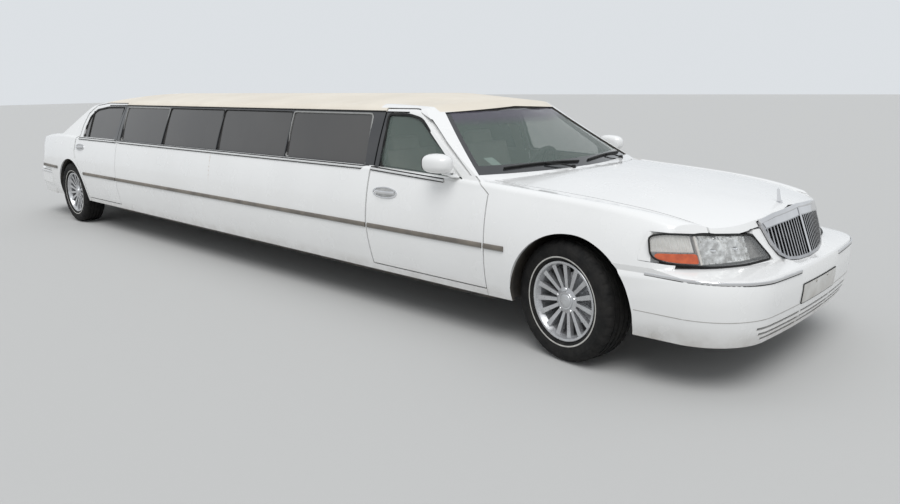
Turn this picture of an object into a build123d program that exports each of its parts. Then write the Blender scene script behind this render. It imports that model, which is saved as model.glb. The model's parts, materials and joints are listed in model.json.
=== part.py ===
"""Stretched luxury sedan: body panels, doors, bonnet, boot lid, glass, chassis and wheels.

Millimetres. +X points forward, +Y to the car's left, +Z up. The origin is on the ground, in the
middle of the overall length.
"""

from build123d import *
import math
import os

# Overall sizes
STANDARD_LENGTH = 5471
STANDARD_WHEELBASE = 2990
STRETCH = 4064
FRONT_OVERHANG = 1050
LENGTH = STANDARD_LENGTH + STRETCH
WHEELBASE = STANDARD_WHEELBASE + STRETCH
F = LENGTH / 2 - FRONT_OVERHANG
R = F - WHEELBASE

# Wheels and arches
TYRE_R = 352
TYRE_W = 235
RIM_R = 232
BARREL_R = 203
RIM_HALF_W = 95
AXLE_Z = TYRE_R
FRONT_TRACK = 1610
REAR_TRACK = 1640
SPOKES = 15
HUB_R = 76
SPINDLE_R = 28
DISC_R = 150
DISC_T = 24
PARKED_STEER = 9
KINGPIN_Y = 720
ARCH_R = 402
ARCH_SHIFT = 30
LINER_R = 434
LINER_T = 8

# Walls, glass and gaps
WALL = 45
PILLAR = 30
TOP_WALL = 26
SCREEN_WALL = 30
TAIL_WALL = 40
GLASS = 6
GAP = 8
SEAT_GAP = 0.3
RUNNING_GAP = 0.06

# Heights
SILL_Z = 295
DOOR_BOTTOM = 345
BUMPER_TOP = 640
ROOF_CUT = 1400
DOOR_TOP = 1392
DOOR_INNER_Y = 662
DOOR_WALL_Y = 850
FLOOR_Z = 300
SHEET = 22
REAR_FLOOR_Z = 460

# Lower body sections. Columns: x from the axle, then half width and height of the sill, of the
# fullest point, of the belt and of the top's edge, and the height of the top's middle.
FRONT_ROWS = [
    (-640, 925, SILL_Z, 970, 600, 915, 950, 862, 982, 1012),
    (-200, 918, SILL_Z, 966, 600, 908, 920, 845, 953, 998),
    (250, 905, SILL_Z, 957, 600, 890, 885, 815, 918, 966),
    (600, 885, SILL_Z, 938, 600, 850, 838, 745, 866, 925),
    (950, 845, SILL_Z, 880, 600, 760, 735, 630, 755, 850),
]
MIDDLE_ROWS = [
    (-640, 925, SILL_Z, 970, 600, 915, 950, 862, 982, 1012),
    (-1632, 925, SILL_Z, 970, 600, 918, 985, 872, 1008, 1022),
]
REAR_ROWS = [
    (500, 925, SILL_Z, 970, 600, 918, 985, 872, 1008, 1022),
    (0, 922, SILL_Z, 967, 600, 908, 990, 850, 1022, 1048),
    (-500, 908, SILL_Z, 950, 600, 884, 984, 810, 1020, 1056),
    (-950, 880, SILL_Z, 917, 600, 838, 945, 760, 985, 1030),
    (-1400, 830, SILL_Z, 868, 600, 772, 890, 690, 935, 988),
]

# Cabin sections. Columns: x from the axle, then half width and height of the foot, of the drip
# rail and of the roof's edge, and the height of the roof's middle.
CABIN_FRONT_ROWS = [
    (-300, 908, 930, 762, 1262, 682, 1308, 1340),
    (-1150, 908, 930, 728, 1350, 645, 1398, 1436),
    (-1700, 908, 930, 718, 1375, 632, 1425, 1490),
]
CABIN_REAR_ROWS = [
    (1300, 908, 930, 718, 1375, 632, 1425, 1490),
    (550, 908, 930, 728, 1352, 645, 1400, 1450),
    (-100, 908, 930, 770, 1255, 690, 1300, 1338),
    (-700, 908, 930, 820, 1110, 750, 1145, 1180),
]

# Windscreen and rear window: x from the axle of the middle, and how far the glass has curved
# away at 900 from the middle, on two levels.
SCREEN_LEVELS = [(900, -300, 180), (1520, -1292, 410)]
BACKLIGHT_LEVELS = [(900, -760, 190), (1520, 470, 330)]

# Outlines seen from the side. Columns: x from the axle, height.
FRONT_DOOR = [
    (-562, DOOR_BOTTOM), (-562, 915), (-650, 975), (-1110, 1300), (-1240, 1372),
    (-1380, DOOR_TOP), (-1655, DOOR_TOP), (-1622, 990), (-1632, 620), (-1595, DOOR_BOTTOM),
]
FRONT_WINDOW = [
    (-790, 984), (-1175, 1250), (-1295, 1333), (-1430, 1358), (-1625, 1358), (-1585, 1010),
]
REAR_DOOR = [
    (1322, DOOR_BOTTOM), (1322, 985), (1240, 1012), (1225, DOOR_TOP), (760, DOOR_TOP),
    (470, 1364), (322, 1276), (274, 1150), (262, 1030), (215, 1000), (205, 850), (262, 745),
    (375, 643), (450, 510), (482, DOOR_BOTTOM),
]
REAR_WINDOW = [
    (1170, 1018), (1192, 1358), (780, 1352), (505, 1320), (372, 1240), (332, 1130), (326, 1018),
]

# Fixed panes of the stretch. Columns: x of the front and rear edge at the belt, then at the top.
PANES = [
    (2243, 1312, 2237, 1284),
    (3277, 2255, 3249, 2249),
    (4328, 3289, 4295, 3261),
    (5325, 4340, 5264, 4307),
]
PANE_BOTTOM = 1018
PANE_TOP = 1358


def block(x0, x1, y0, y1, z0, z1):
    """A plain box between two corners."""
    with BuildPart() as solid:
        with Locations(((x0 + x1) / 2, (y0 + y1) / 2, (z0 + z1) / 2)):
            Box(x1 - x0, y1 - y0, z1 - z0)
    return solid.part


def outline_face(points, gap):
    """The face of an outline, grown or shrunk by a gap."""
    with BuildSketch() as outline:
        with BuildLine():
            Polyline(*points, close=True)
        make_face()
        if gap:
            offset(amount=gap, kind=Kind.INTERSECTION)
    return outline.sketch


def side_cut(points, axle, gap, y0=0, y1=1200):
    """A grown or shrunk outline, carried from y0 to y1."""
    face = outline_face([(axle + x, z) for x, z in points], gap)
    with BuildPart() as solid:
        with BuildSketch(Plane.XZ.offset(-y0)):
            add(face)
        extrude(amount=-(y1 - y0))
    return solid.part


def plan_prism(points, z0, z1):
    """An outline seen from above, carried from z0 to z1."""
    with BuildPart() as solid:
        with BuildSketch(Plane.XY.offset(z0)):
            with BuildLine():
                Polyline(*points, close=True)
            make_face()
        extrude(amount=z1 - z0)
    return solid.part


def front_prism(points, x0, x1):
    """An outline seen from the front (y, z), carried from x0 to x1."""
    with BuildPart() as solid:
        with BuildSketch(Plane.YZ.offset(x0)):
            with BuildLine():
                Polyline(*points, close=True)
            make_face()
        extrude(amount=x1 - x0)
    return solid.part


def lower_face(row, inset, top_inset, drop):
    """One section of the lower body, pulled in by its wall."""
    _, sill_y, sill_z, side_y, side_z, belt_y, belt_z, top_y, edge_z, crown_z = row
    sill = (sill_y - inset, sill_z - drop)
    side = (side_y - inset, side_z)
    belt = (belt_y - inset, belt_z - top_inset / 2)
    edge = (top_y - inset, edge_z - top_inset)
    corner = (belt[0] * 0.8 + edge[0] * 0.2, edge[1] * 0.72 + belt[1] * 0.28)
    crown = (0, crown_z - top_inset)
    with BuildSketch() as section:
        with BuildLine():
            Line((-sill[0], sill[1]), sill)
            ThreePointArc(sill, side, belt)
            ThreePointArc(belt, corner, edge)
            ThreePointArc(edge, crown, (-edge[0], edge[1]))
            ThreePointArc((-edge[0], edge[1]), (-corner[0], corner[1]), (-belt[0], belt[1]))
            ThreePointArc((-belt[0], belt[1]), (-side[0], side[1]), (-sill[0], sill[1]))
        make_face()
    return section.sketch.faces()[0]


def cabin_face(row, inset, top_inset, drop):
    """One section of the cabin, pulled in by its wall."""
    _, foot_y, foot_z, drip_y, drip_z, edge_y, edge_z, crown_z = row
    foot = (foot_y - inset, foot_z - drop)
    drip = (drip_y - inset, drip_z - top_inset / 2)
    glass = ((foot[0] + drip[0]) / 2 + 8, (foot[1] + drip[1]) / 2 + 4)
    edge = (edge_y - inset, edge_z - top_inset)
    corner = (drip[0] * 0.62 + edge[0] * 0.38, edge[1] * 0.68 + drip[1] * 0.32)
    crown = (0, crown_z - top_inset)
    with BuildSketch() as section:
        with BuildLine():
            Line((-foot[0], foot[1]), foot)
            ThreePointArc(foot, glass, drip)
            ThreePointArc(drip, corner, edge)
            ThreePointArc(edge, crown, (-edge[0], edge[1]))
            ThreePointArc((-edge[0], edge[1]), (-corner[0], corner[1]), (-drip[0], drip[1]))
            ThreePointArc((-drip[0], drip[1]), (-glass[0], glass[1]), (-foot[0], foot[1]))
        make_face()
    return section.sketch.faces()[0]


def body_loft(stations, inset, top_inset, drop, face_of, ruled):
    """A solid through the sections at the given places along the body."""
    sections = []
    for x, row in stations:
        face = face_of(row, inset, top_inset, drop)
        sections.append(Plane.YZ.offset(x).location * face)
    with BuildPart() as solid:
        loft(sections, ruled=ruled)
    return solid.part


def lower_body(inset=0, top_inset=0, drop=0):
    """The lower body from the nose to the tail."""
    front = [(F + row[0], row) for row in FRONT_ROWS]
    middle = [(F + row[0], row) for row in MIDDLE_ROWS]
    middle.append((R + REAR_ROWS[0][0], REAR_ROWS[0]))
    rear = [(R + row[0], row) for row in REAR_ROWS]
    body = body_loft(front, inset, top_inset, drop, lower_face, False)
    body += body_loft(middle, inset, top_inset, drop, lower_face, True)
    body += body_loft(rear, inset, top_inset, drop, lower_face, False)
    return body


def cabin(inset=0, top_inset=0, drop=0):
    """The cabin above the belt, before the front and rear glass is cut to its rake."""
    front = [(F + row[0], row) for row in CABIN_FRONT_ROWS]
    rear = [(R + row[0], row) for row in CABIN_REAR_ROWS]
    body = body_loft(front, inset, top_inset, drop, cabin_face, False)
    body += body_loft([front[-1], rear[0]], inset, top_inset, drop, cabin_face, True)
    body += body_loft(rear, inset, top_inset, drop, cabin_face, False)
    return body


def rake_cut(levels, axle, side, shift):
    """Everything beyond a raked, curved glass face. side is 1 in front and -1 behind."""
    with BuildPart() as solid:
        for z, middle, curve in levels:
            x = axle + middle - side * shift
            far = axle + side * 2600
            with BuildSketch(Plane.XY.offset(z)):
                with BuildLine():
                    ThreePointArc((x - side * curve, -900), (x, 0), (x - side * curve, 900))
                    Polyline((x - side * curve, 900), (x - side * curve, 1100), (far, 1100),
                             (far, -1100), (x - side * curve, -1100), (x - side * curve, -900))
                make_face()
        loft(ruled=True)
    return solid.part


def nose_cut(shift):
    """Everything in front of the raked nose face, moved back by a shift."""
    with BuildPart() as solid:
        for z in (180, 1120):
            x = F + 930 - 0.36 * (z - 720) - shift
            with BuildSketch(Plane.XY.offset(z)):
                with BuildLine():
                    ThreePointArc((x - 60, -450), (x, 0), (x - 60, 450))
                    ThreePointArc((x - 60, 450), (x - 195, 750), (x - 420, 935))
                    Polyline((x - 420, 935), (x - 620, 1100), (F + 2000, 1100),
                             (F + 2000, -1100), (x - 620, -1100), (x - 420, -935))
                    ThreePointArc((x - 420, -935), (x - 195, -750), (x - 60, -450))
                make_face()
        loft(ruled=True)
    return solid.part


def tail_cut(shift):
    """Everything behind the raked tail face, moved forward by a shift."""
    with BuildPart() as solid:
        for z, face_x in ((180, -1362), (640, -1350), (1120, -1225)):
            x = R + face_x + shift
            with BuildSketch(Plane.XY.offset(z)):
                with BuildLine():
                    ThreePointArc((x + 52, -600), (x, 0), (x + 52, 600))
                    ThreePointArc((x + 52, 600), (x + 170, 790), (x + 380, 890))
                    Polyline((x + 380, 890), (x + 620, 1100), (R - 3000, 1100),
                             (R - 3000, -1100), (x + 620, -1100), (x + 380, -890))
                    ThreePointArc((x + 380, -890), (x + 170, -790), (x + 52, -600))
                make_face()
        loft(ruled=True)
    return solid.part


def arch_cut(axle, radius, y0, y1):
    """A wheel arch's round opening between two widths."""
    with BuildPart() as solid:
        with BuildSketch(Plane.XZ.offset(-y0)):
            with Locations((axle + ARCH_SHIFT, AXLE_Z)):
                Circle(radius)
        extrude(amount=-(y1 - y0))
    return solid.part


def both_sides(part):
    """A piece and its mirror image on the other side."""
    return part + part.mirror(Plane.XZ)


def finish(part, name):
    """Name a piece and write it out."""
    part.label = name
    export_step(part, "parts/" + name + ".step")


os.makedirs("parts", exist_ok=True)

# The whole outer form and the hollow inside it
nose = nose_cut(0)
tail = tail_cut(0)
outer_lower = lower_body() - nose - tail
hollow_lower = lower_body(WALL, TOP_WALL, 100) - tail_cut(TAIL_WALL)
outer_cabin = cabin() - rake_cut(SCREEN_LEVELS, F, 1, 0) - rake_cut(BACKLIGHT_LEVELS, R, -1, 0)
hollow_cabin = cabin(PILLAR, TOP_WALL, 100)
hollow_cabin -= rake_cut(SCREEN_LEVELS, F, 1, SCREEN_WALL * 1.7)
hollow_cabin -= rake_cut(BACKLIGHT_LEVELS, R, -1, SCREEN_WALL * 1.9)
outer = outer_lower + outer_cabin
shell = outer - hollow_lower - hollow_cabin
for axle in (F, R):
    shell -= arch_cut(axle, ARCH_R, -1200, 1200)

# Bonnet, seen from above. The rear edge follows the windscreen.
def hood_outline(gap):
    """The bonnet's plan, grown by a gap."""
    rear_x = F - 598 - gap
    side_y = 800 + gap
    nose_x = F + 1000
    with BuildSketch() as outline:
        with BuildLine():
            ThreePointArc((rear_x, -side_y), (F - 410 - gap, 0), (rear_x, side_y))
            Polyline((rear_x, side_y), (F + 250, 768 + gap), (F + 560, 738 + gap),
                     (nose_x, 682 + gap), (nose_x, -682 - gap), (F + 560, -738 - gap),
                     (F + 250, -768 - gap), (rear_x, -side_y))
        make_face()
    return outline.sketch


def plan_cut(face, z0, z1):
    """A plan face carried from z0 to z1."""
    with BuildPart() as solid:
        with BuildSketch(Plane.XY.offset(z0)):
            add(face)
        extrude(amount=z1 - z0)
    return solid.part


hood_region = plan_cut(hood_outline(0), 700, 1200)
hood_opening = plan_cut(hood_outline(GAP), 640, 1200)

# Boot lid: the rear top skin and the upper part of the tail face
LID_FRONT = -560
LID_BOTTOM = 690
lid_plan = [
    (R + LID_FRONT, -700), (R + LID_FRONT, 700), (R - 1600, 640), (R - 1600, -640),
]
lid_opening_plan = [
    (R + LID_FRONT + GAP, -700 - GAP), (R + LID_FRONT + GAP, 700 + GAP),
    (R - 1600, 640 + GAP), (R - 1600, -640 - GAP),
]
lid_region = plan_prism(lid_plan, LID_BOTTOM, 1200)
lid_opening = plan_prism(lid_opening_plan, LID_BOTTOM - GAP, 1200)

with BuildPart() as trunk_lid:
    add(shell)
    add(lid_region, mode=Mode.INTERSECT)
finish(trunk_lid.part, "trunk_lid")

# Doors. Above the belt the windscreen's pillar stands in front of the door frame.
above_belt = block(F - 2000, F, -1000, 1000, 1010, 1600)
pillar_zone = rake_cut(SCREEN_LEVELS, F, 1, SCREEN_WALL * 1.7) & above_belt
door_clear = rake_cut(SCREEN_LEVELS, F, 1, SCREEN_WALL * 1.7 + GAP) & above_belt


def door_zone(points, axle, gap, extra=0):
    """A door's space, which reaches further in at its window frame than below the belt."""
    zone = side_cut(points, axle, gap, DOOR_INNER_Y - gap)
    if extra:
        zone += side_cut([(x - extra, z) for x, z in points], axle, gap, DOOR_INNER_Y - gap)
    return zone - block(axle - 2000, axle + 2000, 0, DOOR_WALL_Y - gap, 0, 1000)


front_door_opening = door_zone(FRONT_DOOR, F, GAP, 6)
front_door_opening -= pillar_zone
rear_door_opening = door_zone(REAR_DOOR, R, GAP, 14)

with BuildPart() as front_door:
    add(shell)
    add(door_zone(FRONT_DOOR, F, 0), mode=Mode.INTERSECT)
    add(door_clear, mode=Mode.SUBTRACT)
    add(side_cut(FRONT_WINDOW, F, 0), mode=Mode.SUBTRACT)

with BuildPart() as rear_door:
    add(shell)
    add(door_zone(REAR_DOOR, R, 0), mode=Mode.INTERSECT)
    add(side_cut(REAR_WINDOW, R, 0), mode=Mode.SUBTRACT)

finish(front_door.part, "door_front_left")
finish(front_door.part.mirror(Plane.XZ), "door_front_right")
finish(rear_door.part, "door_rear_left")
finish(rear_door.part.mirror(Plane.XZ), "door_rear_right")

# Side glass lies just under the outer face of the cabin wall
glass_layer = cabin(3, 3, 60) - cabin(3 + GLASS, 3 + GLASS, 90)

with BuildPart() as front_door_glass:
    add(glass_layer)
    add(side_cut(FRONT_WINDOW, F, -SEAT_GAP), mode=Mode.INTERSECT)

with BuildPart() as rear_door_glass:
    add(glass_layer)
    add(side_cut(REAR_WINDOW, R, -SEAT_GAP), mode=Mode.INTERSECT)

finish(front_door_glass.part, "door_glass_front_left")
finish(front_door_glass.part.mirror(Plane.XZ), "door_glass_front_right")
finish(rear_door_glass.part, "door_glass_rear_left")
finish(rear_door_glass.part.mirror(Plane.XZ), "door_glass_rear_right")


def pane_outline(row):
    """One pane's corners seen from the side."""
    front_low, rear_low, front_high, rear_high = row
    return [(front_low, PANE_BOTTOM), (front_high, PANE_TOP), (rear_high, PANE_TOP),
            (rear_low, PANE_BOTTOM)]


with BuildPart() as stretch_glass:
    for row in PANES:
        add(glass_layer & side_cut(pane_outline(row), R, -SEAT_GAP))
finish(both_sides(stretch_glass.part), "stretch_glass")

# Windscreen and rear window
windscreen_hole = [(-862, 1012), (862, 1012), (608, 1372), (0, 1398), (-608, 1372)]
backlight_hole = [(-800, 1062), (800, 1062), (640, 1385), (0, 1412), (-640, 1385)]


def front_cut(points, amount, x0, x1):
    """An outline seen from the front, carried from x0 to x1."""
    face = outline_face(points, amount)
    with BuildPart() as solid:
        with BuildSketch(Plane.YZ.offset(x0)):
            add(face)
        extrude(amount=x1 - x0)
    return solid.part


def glass_sheet(levels, axle, side, depth):
    """A curved sheet of glass at a depth under the raked face."""
    return rake_cut(levels, axle, side, depth + GLASS * 1.8) - rake_cut(levels, axle, side, depth)


windscreen_cut = front_cut(windscreen_hole, 0, F - 1700, F + 300)
backlight_cut = front_cut(backlight_hole, 0, R - 1100, R + 1000)

with BuildPart() as screens:
    add(glass_sheet(SCREEN_LEVELS, F, 1, 16))
    add(front_cut(windscreen_hole, -SEAT_GAP, F - 1700, F + 300), mode=Mode.INTERSECT)
with BuildPart() as rear_screen:
    add(glass_sheet(BACKLIGHT_LEVELS, R, -1, 16))
    add(front_cut(backlight_hole, -SEAT_GAP, R - 1100, R + 1000), mode=Mode.INTERSECT)
finish(screens.part + rear_screen.part, "screens")

# Lamps in the nose and the tail
lamp_outline = [
    (374, 652), (480, 786), (600, 797), (752, 808), (960, 822), (1000, 822), (1000, 690),
    (900, 666), (752, 647), (560, 646),
]
LAMP_DEPTH = 70
tail_lamp_outline = [(674, 668), (674, 862), (900, 862), (1000, 850), (1000, 668)]
lamp_shape = front_prism(lamp_outline, F, F + 1200)
lamp_space = front_cut(lamp_outline, 3, F, F + 1200) & nose_cut(LAMP_DEPTH + 3)

# Grille outline and the opening in it, seen from the front
GRILLE_DEPTH = 36
GRILLE_PROUD = 16
grille_side = [(414, 838), (367, 724), (318, 664), (255, 630), (150, 618)]
grille_hole_side = [(386, 800), (350, 724), (306, 674), (246, 645), (148, 633)]
grille_outline = [(0, 614)] + [(-y, z) for y, z in reversed(grille_side)]
grille_outline += [(-281, 857), (0, 873), (281, 857)] + grille_side
grille_hole = [(0, 629)] + [(-y, z) for y, z in reversed(grille_hole_side)]
grille_hole += [(-270, 814), (0, 826), (270, 814)] + grille_hole_side

# Bonnet. Its front edge keeps clear of the lamps, of the grille and of the panel between them.
lamp_clear = front_cut(lamp_outline, 6, F, F + 1200) & nose_cut(LAMP_DEPTH + 6)
grille_clear = front_cut(grille_outline, 6, F, F + 1200) & nose_cut(GRILLE_DEPTH + 8)
between_clear = front_prism([(280, 600), (560, 600), (560, 780), (484, 812), (280, 812)],
                            F + 500, F + 1200)
with BuildPart() as hood:
    add(shell)
    add(hood_region, mode=Mode.INTERSECT)
    add(both_sides(lamp_clear), mode=Mode.SUBTRACT)
    add(grille_clear, mode=Mode.SUBTRACT)
    add(both_sides(between_clear), mode=Mode.SUBTRACT)
finish(hood.part, "hood")
tail_lamp_shape = front_prism(tail_lamp_outline, R - 1600, R - 1060)
tail_lamp_space = front_cut(tail_lamp_outline, SEAT_GAP, R - 1600, R - 1060 + SEAT_GAP)

with BuildPart() as lamp:
    add(outer_lower)
    add(nose_cut(LAMP_DEPTH), mode=Mode.INTERSECT)
    add(lamp_shape, mode=Mode.INTERSECT)
finish(both_sides(lamp.part), "headlamps")

with BuildPart() as tail_lamp:
    add(shell)
    add(tail_lamp_shape, mode=Mode.INTERSECT)
finish(both_sides(tail_lamp.part), "tail_lamps")

# Cowl with the windscreen's pillars and header, and the firewall under it
front_door_both = both_sides(front_door_opening)
rear_door_both = both_sides(rear_door_opening)
COWL_SIDE = [
    (-380, 880), (-380, 1120), (-1290, 1560), (-1560, 1560), (-1560, 1400), (-1390, 1400),
    (-1200, 1330), (-900, 1130), (-660, 965), (-562, 925), (-562, 880),
]
roof_region = block(R - 1200, F - 900, -1000, 1000, ROOF_CUT, 1700)
roof_region += block(R + 200, F - 1400, -656, 656, 1345, 1700)
fender_zone = both_sides(block(F - 554, F - 300, 808, 1100, 800, 1100))
firewall = hollow_lower & block(F - 545, F - 520, -1000, 1000, FLOOR_Z + SHEET + SEAT_GAP, 905)
firewall += outer_lower & block(F - 545, F - 520, -570, 570, 900, 1100)
tunnel_space = block(F - 1300, F + 100, -150, 150, 200, 450)

with BuildPart() as cowl:
    add(shell)
    add(side_cut(COWL_SIDE, F, 0, -1200, 1200), mode=Mode.INTERSECT)
    add(windscreen_cut, mode=Mode.SUBTRACT)
    add(hood_opening, mode=Mode.SUBTRACT)
    add(front_door_both, mode=Mode.SUBTRACT)
    add(roof_region, mode=Mode.SUBTRACT)
    add(fender_zone, mode=Mode.SUBTRACT)
    add(firewall)
    add(tunnel_space, mode=Mode.SUBTRACT)
finish(cowl.part, "cowl")

# Front fenders
with BuildPart() as fender:
    add(shell)
    add(block(F - 554, F + 1300, 0, 1200, SILL_Z - 20, 1200), mode=Mode.INTERSECT)
    add(front_door_opening, mode=Mode.SUBTRACT)
    add(hood_opening, mode=Mode.SUBTRACT)
    add(block(F - 700, F + 1200, -10, 700, 200, 1300), mode=Mode.SUBTRACT)
    add(cowl.part, mode=Mode.SUBTRACT)
    add(lamp_space, mode=Mode.SUBTRACT)
    add(block(F + 200, F + 1300, 0, 1200, 100, BUMPER_TOP + SEAT_GAP), mode=Mode.SUBTRACT)
finish(both_sides(fender.part), "front_fenders")

# Roof with the header over the rear window
with BuildPart() as roof:
    add(shell)
    add(roof_region, mode=Mode.INTERSECT)
    add(backlight_cut, mode=Mode.SUBTRACT)
    add(windscreen_cut, mode=Mode.SUBTRACT)
finish(roof.part, "roof")

# Rockers under the doors and along the stretch
with BuildPart() as rockers:
    add(shell)
    add(block(R + 492, F - 554 - GAP / 2, -1200, 1200, SILL_Z - 20, DOOR_BOTTOM - GAP),
        mode=Mode.INTERSECT)
finish(rockers.part, "rockers")

# Side panels of the stretch between the doors, with the posts between the panes
panel_region = block(R + 1200, F - 1600, -1200, 1200, DOOR_BOTTOM - GAP, ROOF_CUT)
with BuildPart() as stretch_panels:
    add(shell)
    add(panel_region, mode=Mode.INTERSECT)
    add(roof_region, mode=Mode.SUBTRACT)
    add(front_door_both, mode=Mode.SUBTRACT)
    add(rear_door_both, mode=Mode.SUBTRACT)
    for row in PANES:
        add(side_cut(pane_outline(row), R, 0, -1200, 1200), mode=Mode.SUBTRACT)
finish(stretch_panels.part, "stretch_panels")

# Rear quarter panels, with the posts beside the rear window
with BuildPart() as quarter_panels:
    add(shell)
    add(block(R - 2000, R + 900, -1200, 1200, SILL_Z - 20, ROOF_CUT), mode=Mode.INTERSECT)
    add(rear_door_both, mode=Mode.SUBTRACT)
    add(block(R + 490, R + 900, -1200, 1200, 100, DOOR_BOTTOM), mode=Mode.SUBTRACT)
    add(backlight_cut, mode=Mode.SUBTRACT)
    add(lid_opening, mode=Mode.SUBTRACT)
    add(block(R + LID_FRONT + GAP, R + 900, -702, 702, 900, 1061), mode=Mode.SUBTRACT)
    add(block(R - 1600, R - 900, -650, 650, 200, 1200), mode=Mode.SUBTRACT)
    add(both_sides(tail_lamp_space), mode=Mode.SUBTRACT)
    add(block(R - 1600, R - 612, -1200, 1200, 100, 606), mode=Mode.SUBTRACT)
    add(roof_region, mode=Mode.SUBTRACT)
finish(quarter_panels.part, "quarter_panels")

# Panel below the boot lid
with BuildPart() as tail_panel:
    add(shell)
    add(block(R - 1600, R - 1100, -650, 650, 420, LID_BOTTOM - GAP), mode=Mode.INTERSECT)
    add(both_sides(block(R - 1322, R - 1300, 480, 520, 660, LID_BOTTOM - SEAT_GAP)))
finish(tail_panel.part, "tail_panel")

# Deck in front of the boot lid, with the parcel shelf and the bulkhead under it
with BuildPart() as rear_shelf:
    add(shell)
    add(block(R + LID_FRONT + GAP, R - 300, -702, 702, 900, 1061), mode=Mode.INTERSECT)
    add(hollow_lower & block(R - 520, R - 60, -840, 840, 940, 958))
    add(hollow_lower & block(R + LID_FRONT + GAP, R - 502, -702, 702, 940, 1045))
    add(hollow_lower & block(R - 80, R - 60, -640, 640, REAR_FLOOR_Z + SHEET + SEAT_GAP, 950))
finish(rear_shelf.part, "rear_shelf")

# Floor with its tunnel, kick-up and boot well, and the rear wheel housings
TUNNEL_HALF = 150
TUNNEL_TOP = 450
floor_profile = [
    (F - 520, FLOOR_Z), (F - 520, FLOOR_Z + SHEET), (R + 582 - SHEET, FLOOR_Z + SHEET),
    (R + 582 - SHEET, REAR_FLOOR_Z + SHEET), (R - 440 - SHEET, REAR_FLOOR_Z + SHEET),
    (R - 440 - SHEET, 400 + SHEET), (R - 1330, 400 + SHEET), (R - 1330, 400), (R - 440, 400),
    (R - 440, REAR_FLOOR_Z), (R + 582 - 2 * SHEET, REAR_FLOOR_Z),
    (R + 582 - 2 * SHEET, FLOOR_Z),
]
floor_sheet = side_cut(floor_profile, 0, 0, -1000, 1000)
inside = hollow_lower - tail_cut(TAIL_WALL + 1)
tunnel_outer = block(R + 582 - SHEET, F - 520, -TUNNEL_HALF, TUNNEL_HALF, FLOOR_Z, TUNNEL_TOP)
tunnel_inner = block(R + 400, F - 400, -TUNNEL_HALF + SHEET, TUNNEL_HALF - SHEET, 200,
                     TUNNEL_TOP - SHEET)
rear_liner = arch_cut(R, LINER_R + LINER_T, 652, 1000) - arch_cut(R, LINER_R, 660, 1001)
rear_liner -= block(R - 600, R + 700, -1000, 1000, -200, FLOOR_Z)
rear_liner -= block(R - 66, R + 66, -1000, 1000, 200, AXLE_Z + 120)
with BuildPart() as floor_pan:
    add(floor_sheet & inside)
    add(both_sides(block(R - 1400, R - 560, 842, 1000, 300, 450)), mode=Mode.SUBTRACT)
    add(tunnel_outer)
    add(tunnel_inner, mode=Mode.SUBTRACT)
    add(both_sides(arch_cut(R, LINER_R + 2, 655, 1000)), mode=Mode.SUBTRACT)
    add(both_sides(rear_liner & hollow_lower))
finish(floor_pan.part, "floor_pan")

# Inner fenders: aprons, wheel housings, lamp carrier and radiator panel
front_liner = arch_cut(F, LINER_R + LINER_T, 490, 1000) - arch_cut(F, LINER_R, 489, 1001)
front_liner -= block(F - 600, F + 700, -1000, 1000, -200, FLOOR_Z)
front_liner -= block(F + 350, F + 600, 862, 1001, 200, BUMPER_TOP + 20)
carrier = nose_cut(LAMP_DEPTH + 30) - nose_cut(LAMP_DEPTH + SEAT_GAP)
carrier &= block(F, F + 1200, -1000, 1000, 590 + SEAT_GAP, 806)
radiator_panel = block(F + 640, F + 662, -690, 690, 390, 800)
grille_carrier = both_sides(block(F, F + 1300, 340, 388, 735, 765))
grille_carrier &= nose_cut(LAMP_DEPTH + 2) - nose_cut(GRILLE_DEPTH + SEAT_GAP)
hood_stops = block(F + 590, F + 625, 468, 492, 830, 1000)
hood_stops += block(F - 450, F - 415, 468, 492, 830, 1000)
hood_stops = both_sides(hood_stops) & lower_body(WALL, TOP_WALL + SEAT_GAP, 100)
with BuildPart() as inner_fenders:
    add(both_sides(block(F - 520, F + 665, 470, 490, FLOOR_Z, 838)))
    add(both_sides(front_liner & hollow_lower))
    add((carrier + radiator_panel) & hollow_lower)
    add(grille_carrier)
    add(hood_stops)
finish(inner_fenders.part, "inner_fenders")


def bumper_plan(front, inset):
    """Half-plan corners of a bumper: middle, corner start, corner, side start, side end."""
    if front:
        rows = [(1050, 0), (1022, 600), (908, 828), (706, 932), (280, 961)]
        sign = 1
        axle = F
    else:
        rows = [(-1431, 0), (-1378, 600), (-1240, 812), (-1010, 908), (-612, 944)]
        sign = -1
        axle = R
    shifts = [(1, 0), (1, 0.2), (0.7, 0.7), (0.3, 0.9), (0, 1)]
    return [(axle + x - sign * sx * inset, y - sy * inset)
            for (x, y), (sx, sy) in zip(rows, shifts)]


def bumper_block(front, inset, z0, z1, taper=0):
    """A solid over the bumper's plan."""
    middle, corner, bend, side, end = bumper_plan(front, inset)
    with BuildPart() as solid:
        with BuildSketch(Plane.XY.offset(z0)):
            with BuildLine():
                ThreePointArc((corner[0], -corner[1]), middle, corner)
                ThreePointArc(corner, bend, side)
                Polyline(side, end, (end[0], -end[1]), (side[0], -side[1]))
                ThreePointArc((side[0], -side[1]), (bend[0], -bend[1]), (corner[0], -corner[1]))
            make_face()
        extrude(amount=z1 - z0, taper=taper)
    return solid.part


# Screw holes of the number plates
PLATE_HOLES = (-89, 89)
PLATE_HOLE_R = 3.5

# Front bumper: a fascia that rises to the nose under the lamps, stands between lamp and grille,
# and tucks in below. Columns: height, then how far the outer and the inner face are set in.
BUMPER_T = 52
FASCIA_LEVELS = [(262, 46), (330, 20), (405, 7), (480, 0), (590, 0), (610, 10)]
FASCIA_INSIDE = [(200, 118), (262, 98), (330, 70), (405, 58), (590, BUMPER_T)]
SLOTS = [(356, 690), (326, 670), (296, 640)]
SLOT_WEB = 232


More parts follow.
